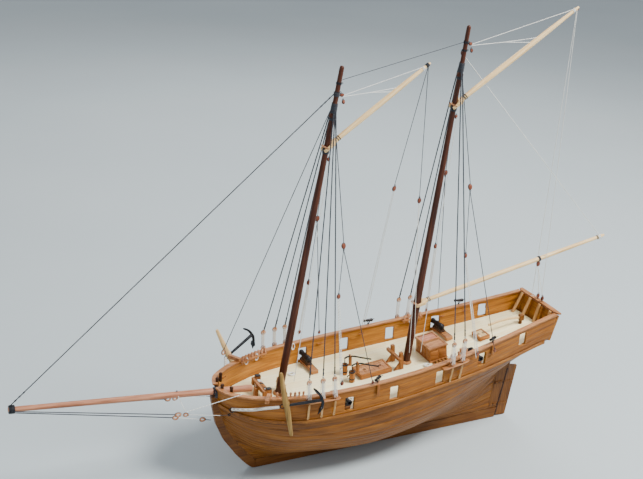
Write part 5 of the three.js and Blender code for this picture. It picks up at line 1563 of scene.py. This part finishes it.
def cables():
    """The anchor cables, from the hawse holes to the anchor rings."""
    for name, sign, points in (
        ("port", 1, [(253.3, 17.0, 66.3), (247.5, 23.2, 68.2), (241, 29.6, 70.4), (234, 34.8, 73), (225.5, 40.6, 75.6)]),
        ("starboard", -1, [(253.3, -17.0, 65.5), (249, -21.6, 66), (244, -27.4, 70), (240, -33, 75.4), (237.8, -38.6, 79)]),
    ):
        path = smooth(points, 6)
        cable = Form().tube(path, 1.15, 12).make(f"anchor_cable_{name}", "cable", slot=f"anchor_{name}")
        facts = dict(exit=tuple(at(path[0])), length=path_length(path), diameter=0.0023, far_end="object")
        [tuple(at(p)) for p in path]
        hawse = Form().hoop((253.6, 17.0 * sign, 65.4), (0.75, 0.62 * sign, 0), 1.6, 0.42, 20)
        hawse.make(f"hawse_ring_{name}", "iron", slot="hull_planking")


def bow_details():
    """Knightheads beside the bowsprit, and a thin dark strip under each wale at the bow: painted shadow under the wale,
    not a moulding.
    """
    form, strip = Form(), Form()
    for sign in (1, -1):
        for x, y in ((258.5, 5.4), (253.5, 11.6)):
            z = rail(x)[2] - 4
            head = [(1.25, 0), (1.25, 5.6), (1.5, 5.8), (1.5, 6.6), (1.0, 7.4), (0, 7.7)]
            form.turned(head, (x - 1.5, y * sign, z), UP, 16)
        # Painted shadow under the wale: a dark strip along its lower edge, thickening towards the stem.
        path = []
        for u in np.linspace(u_at(203), 0.985, 40):
            z = hull(u, WALE_V)[2] - WALE_HALF
            p = hull(u, v_at(u, z))
            path.append((p[0] + 0.1, (p[1] + 0.35) * sign, z))
        thick = [0.3 + 0.3 * min(1, k / 12) for k in range(40)]
        strip.tube(path, thick, 8)
    form.make("knightheads", "dark", slot="stem")
    strip.make("bow_painted_wale_shadows", "dark", slot="wale_port")


def smooth(points, steps):
    """A rounded path through the points."""
    knots = [Vector(p) for p in points]
    knots = [knots[0] * 2 - knots[1]] + knots + [knots[-1] * 2 - knots[-2]]
    out = []
    for i in range(1, len(knots) - 2):
        a, b, c, d = knots[i - 1:i + 3]
        for k in range(steps):
            t = k / steps
            cubic = (2 * a - 5 * b + 4 * c - d) * t * t + (3 * b - a - 3 * c + d) * t ** 3
            out.append(0.5 * (2 * b + (c - a) * t + cubic))
    return out + [knots[-2]]


HINGE_RAKE = 0.1695


def hinge_x(z):
    """The rudder's hinge axis at a height."""
    return -1.6 - HINGE_RAKE * z


def stern_details():
    pintles, iron, timbers = Form(), Form(), Form()
    for z in (12, 33):
        for spot in (z, z + 2.6):
            ring = mirrored((0.5, -0.8), (1.0, -0.8), (1.1, 0))
            pintles.turned(ring, (hinge_x(spot), 0, spot), (-HINGE_RAKE, 0, 1), 16)
        for y in (-2.75, 2.75):
            for dx in (3, 6.5, 10):
                iron.ball((hinge_x(z) + dx, y, z + 1), 0.36)
    pintles.make("rudder_pintles", "iron", "rudder", slot="rudder")
    iron.make("sternpost_rivets", "iron", slot="sternpost")
    low = ship_box("taffrail")[0]
    for y, forward in ((-20.3, 8.0), (-8.5, 6.5), (4.8, 4.0), (19.5, 2.0)):
        x = low.x + 5.9
        head = Vector((x, y, low.z + 0.2))
        foot = Vector((x + forward, y, deck_z(x + forward, y) - 0.2))
        span = (head - foot).length
        timbers.turned([(0.0, 0), (1.45, 0), (1.3, span), (0.0, span)], foot, head - foot, 8)
    timbers.make("transom_timbers", "tan", slot="transom")
    # Painted shadow: a dark sleeve along the rudder's hinge axis stands in for the shaded gap between rudder and
    # sternpost.
    edge = Form().tube([(hinge_x(z), 0, z) for z in (1.2, 17, 33, 48.8)], 1.29, 16)
    edge.make("rudder_painted_gap_shadow", "dark", "rudder", slot="rudder")


def stem_filler():
    """A batten in the rabbet, where the strakes meet the stem and the sternpost."""
    form = Form()
    for _, sign in SIDES:
        for u, dx, radius in ((0.999, -0.2, 0.75), (0.001, 0.2, 0.6)):
            spots = [hull(u, v) for v in np.linspace(0.0, WALE_V, 26)]
            form.tube([(p[0] + dx, max(p[1] - 0.35, 0.4) * sign, p[2]) for p in spots], radius, 8)
    form.make("rabbet_battens", "post", slot="stem")


# ---------- the build ----------

shell()
for side, sign in SIDES:
    bulwark(side, sign)
kept_nodes()
make_mast("foremast", FOREMAST, FORE_HOUNDS, [(299.8, 1.6), (306.6, 1.6)], 259.3)
make_mast("mainmast", MAINMAST, MAIN_HOUNDS, [(326.4, 1.4), (332.4, 1.8)], 284.6)
make_spar("fore_gaff", FORE_GAFF, FOREMAST)
make_spar("main_gaff", MAIN_GAFF, MAINMAST)
make_spar("main_boom", MAIN_BOOM, MAINMAST)
make_bowsprit()
for order, (side, sign) in enumerate(SIDES):
    channel("fore", side, sign)
    channel("main", side, sign)
    shrouds("fore", FOREMAST, FORE_HOUNDS, side, sign, order)
    shrouds("main", MAINMAST, MAIN_HOUNDS, side, sign, order)
    for end in GUN_X:
        gun(end, side, sign)
anchors()
stays()
bowsprit_rigging()
peak_halyard("fore", FOREMAST, FORE_GAFF, 297.3, (0.64, 0.69, 0.93))
peak_halyard("main", MAINMAST, MAIN_GAFF, 330.5, (0.62, 0.67, 0.96))
topping_lift()
backstays()
vangs()
main_sheet()
ensign_halyard()
falls()
hatch("main_hatch", 125.5, 14, 8, 4.2, 6)
hatch("aft_hatch", 22.5, 5, 6.5, 3.4, 3)
companion()
coils()
pin_racks()
cleats()
swivels()
pump_tops()
windlass_details()
cables()
stern_details()
stem_filler()
bow_details()
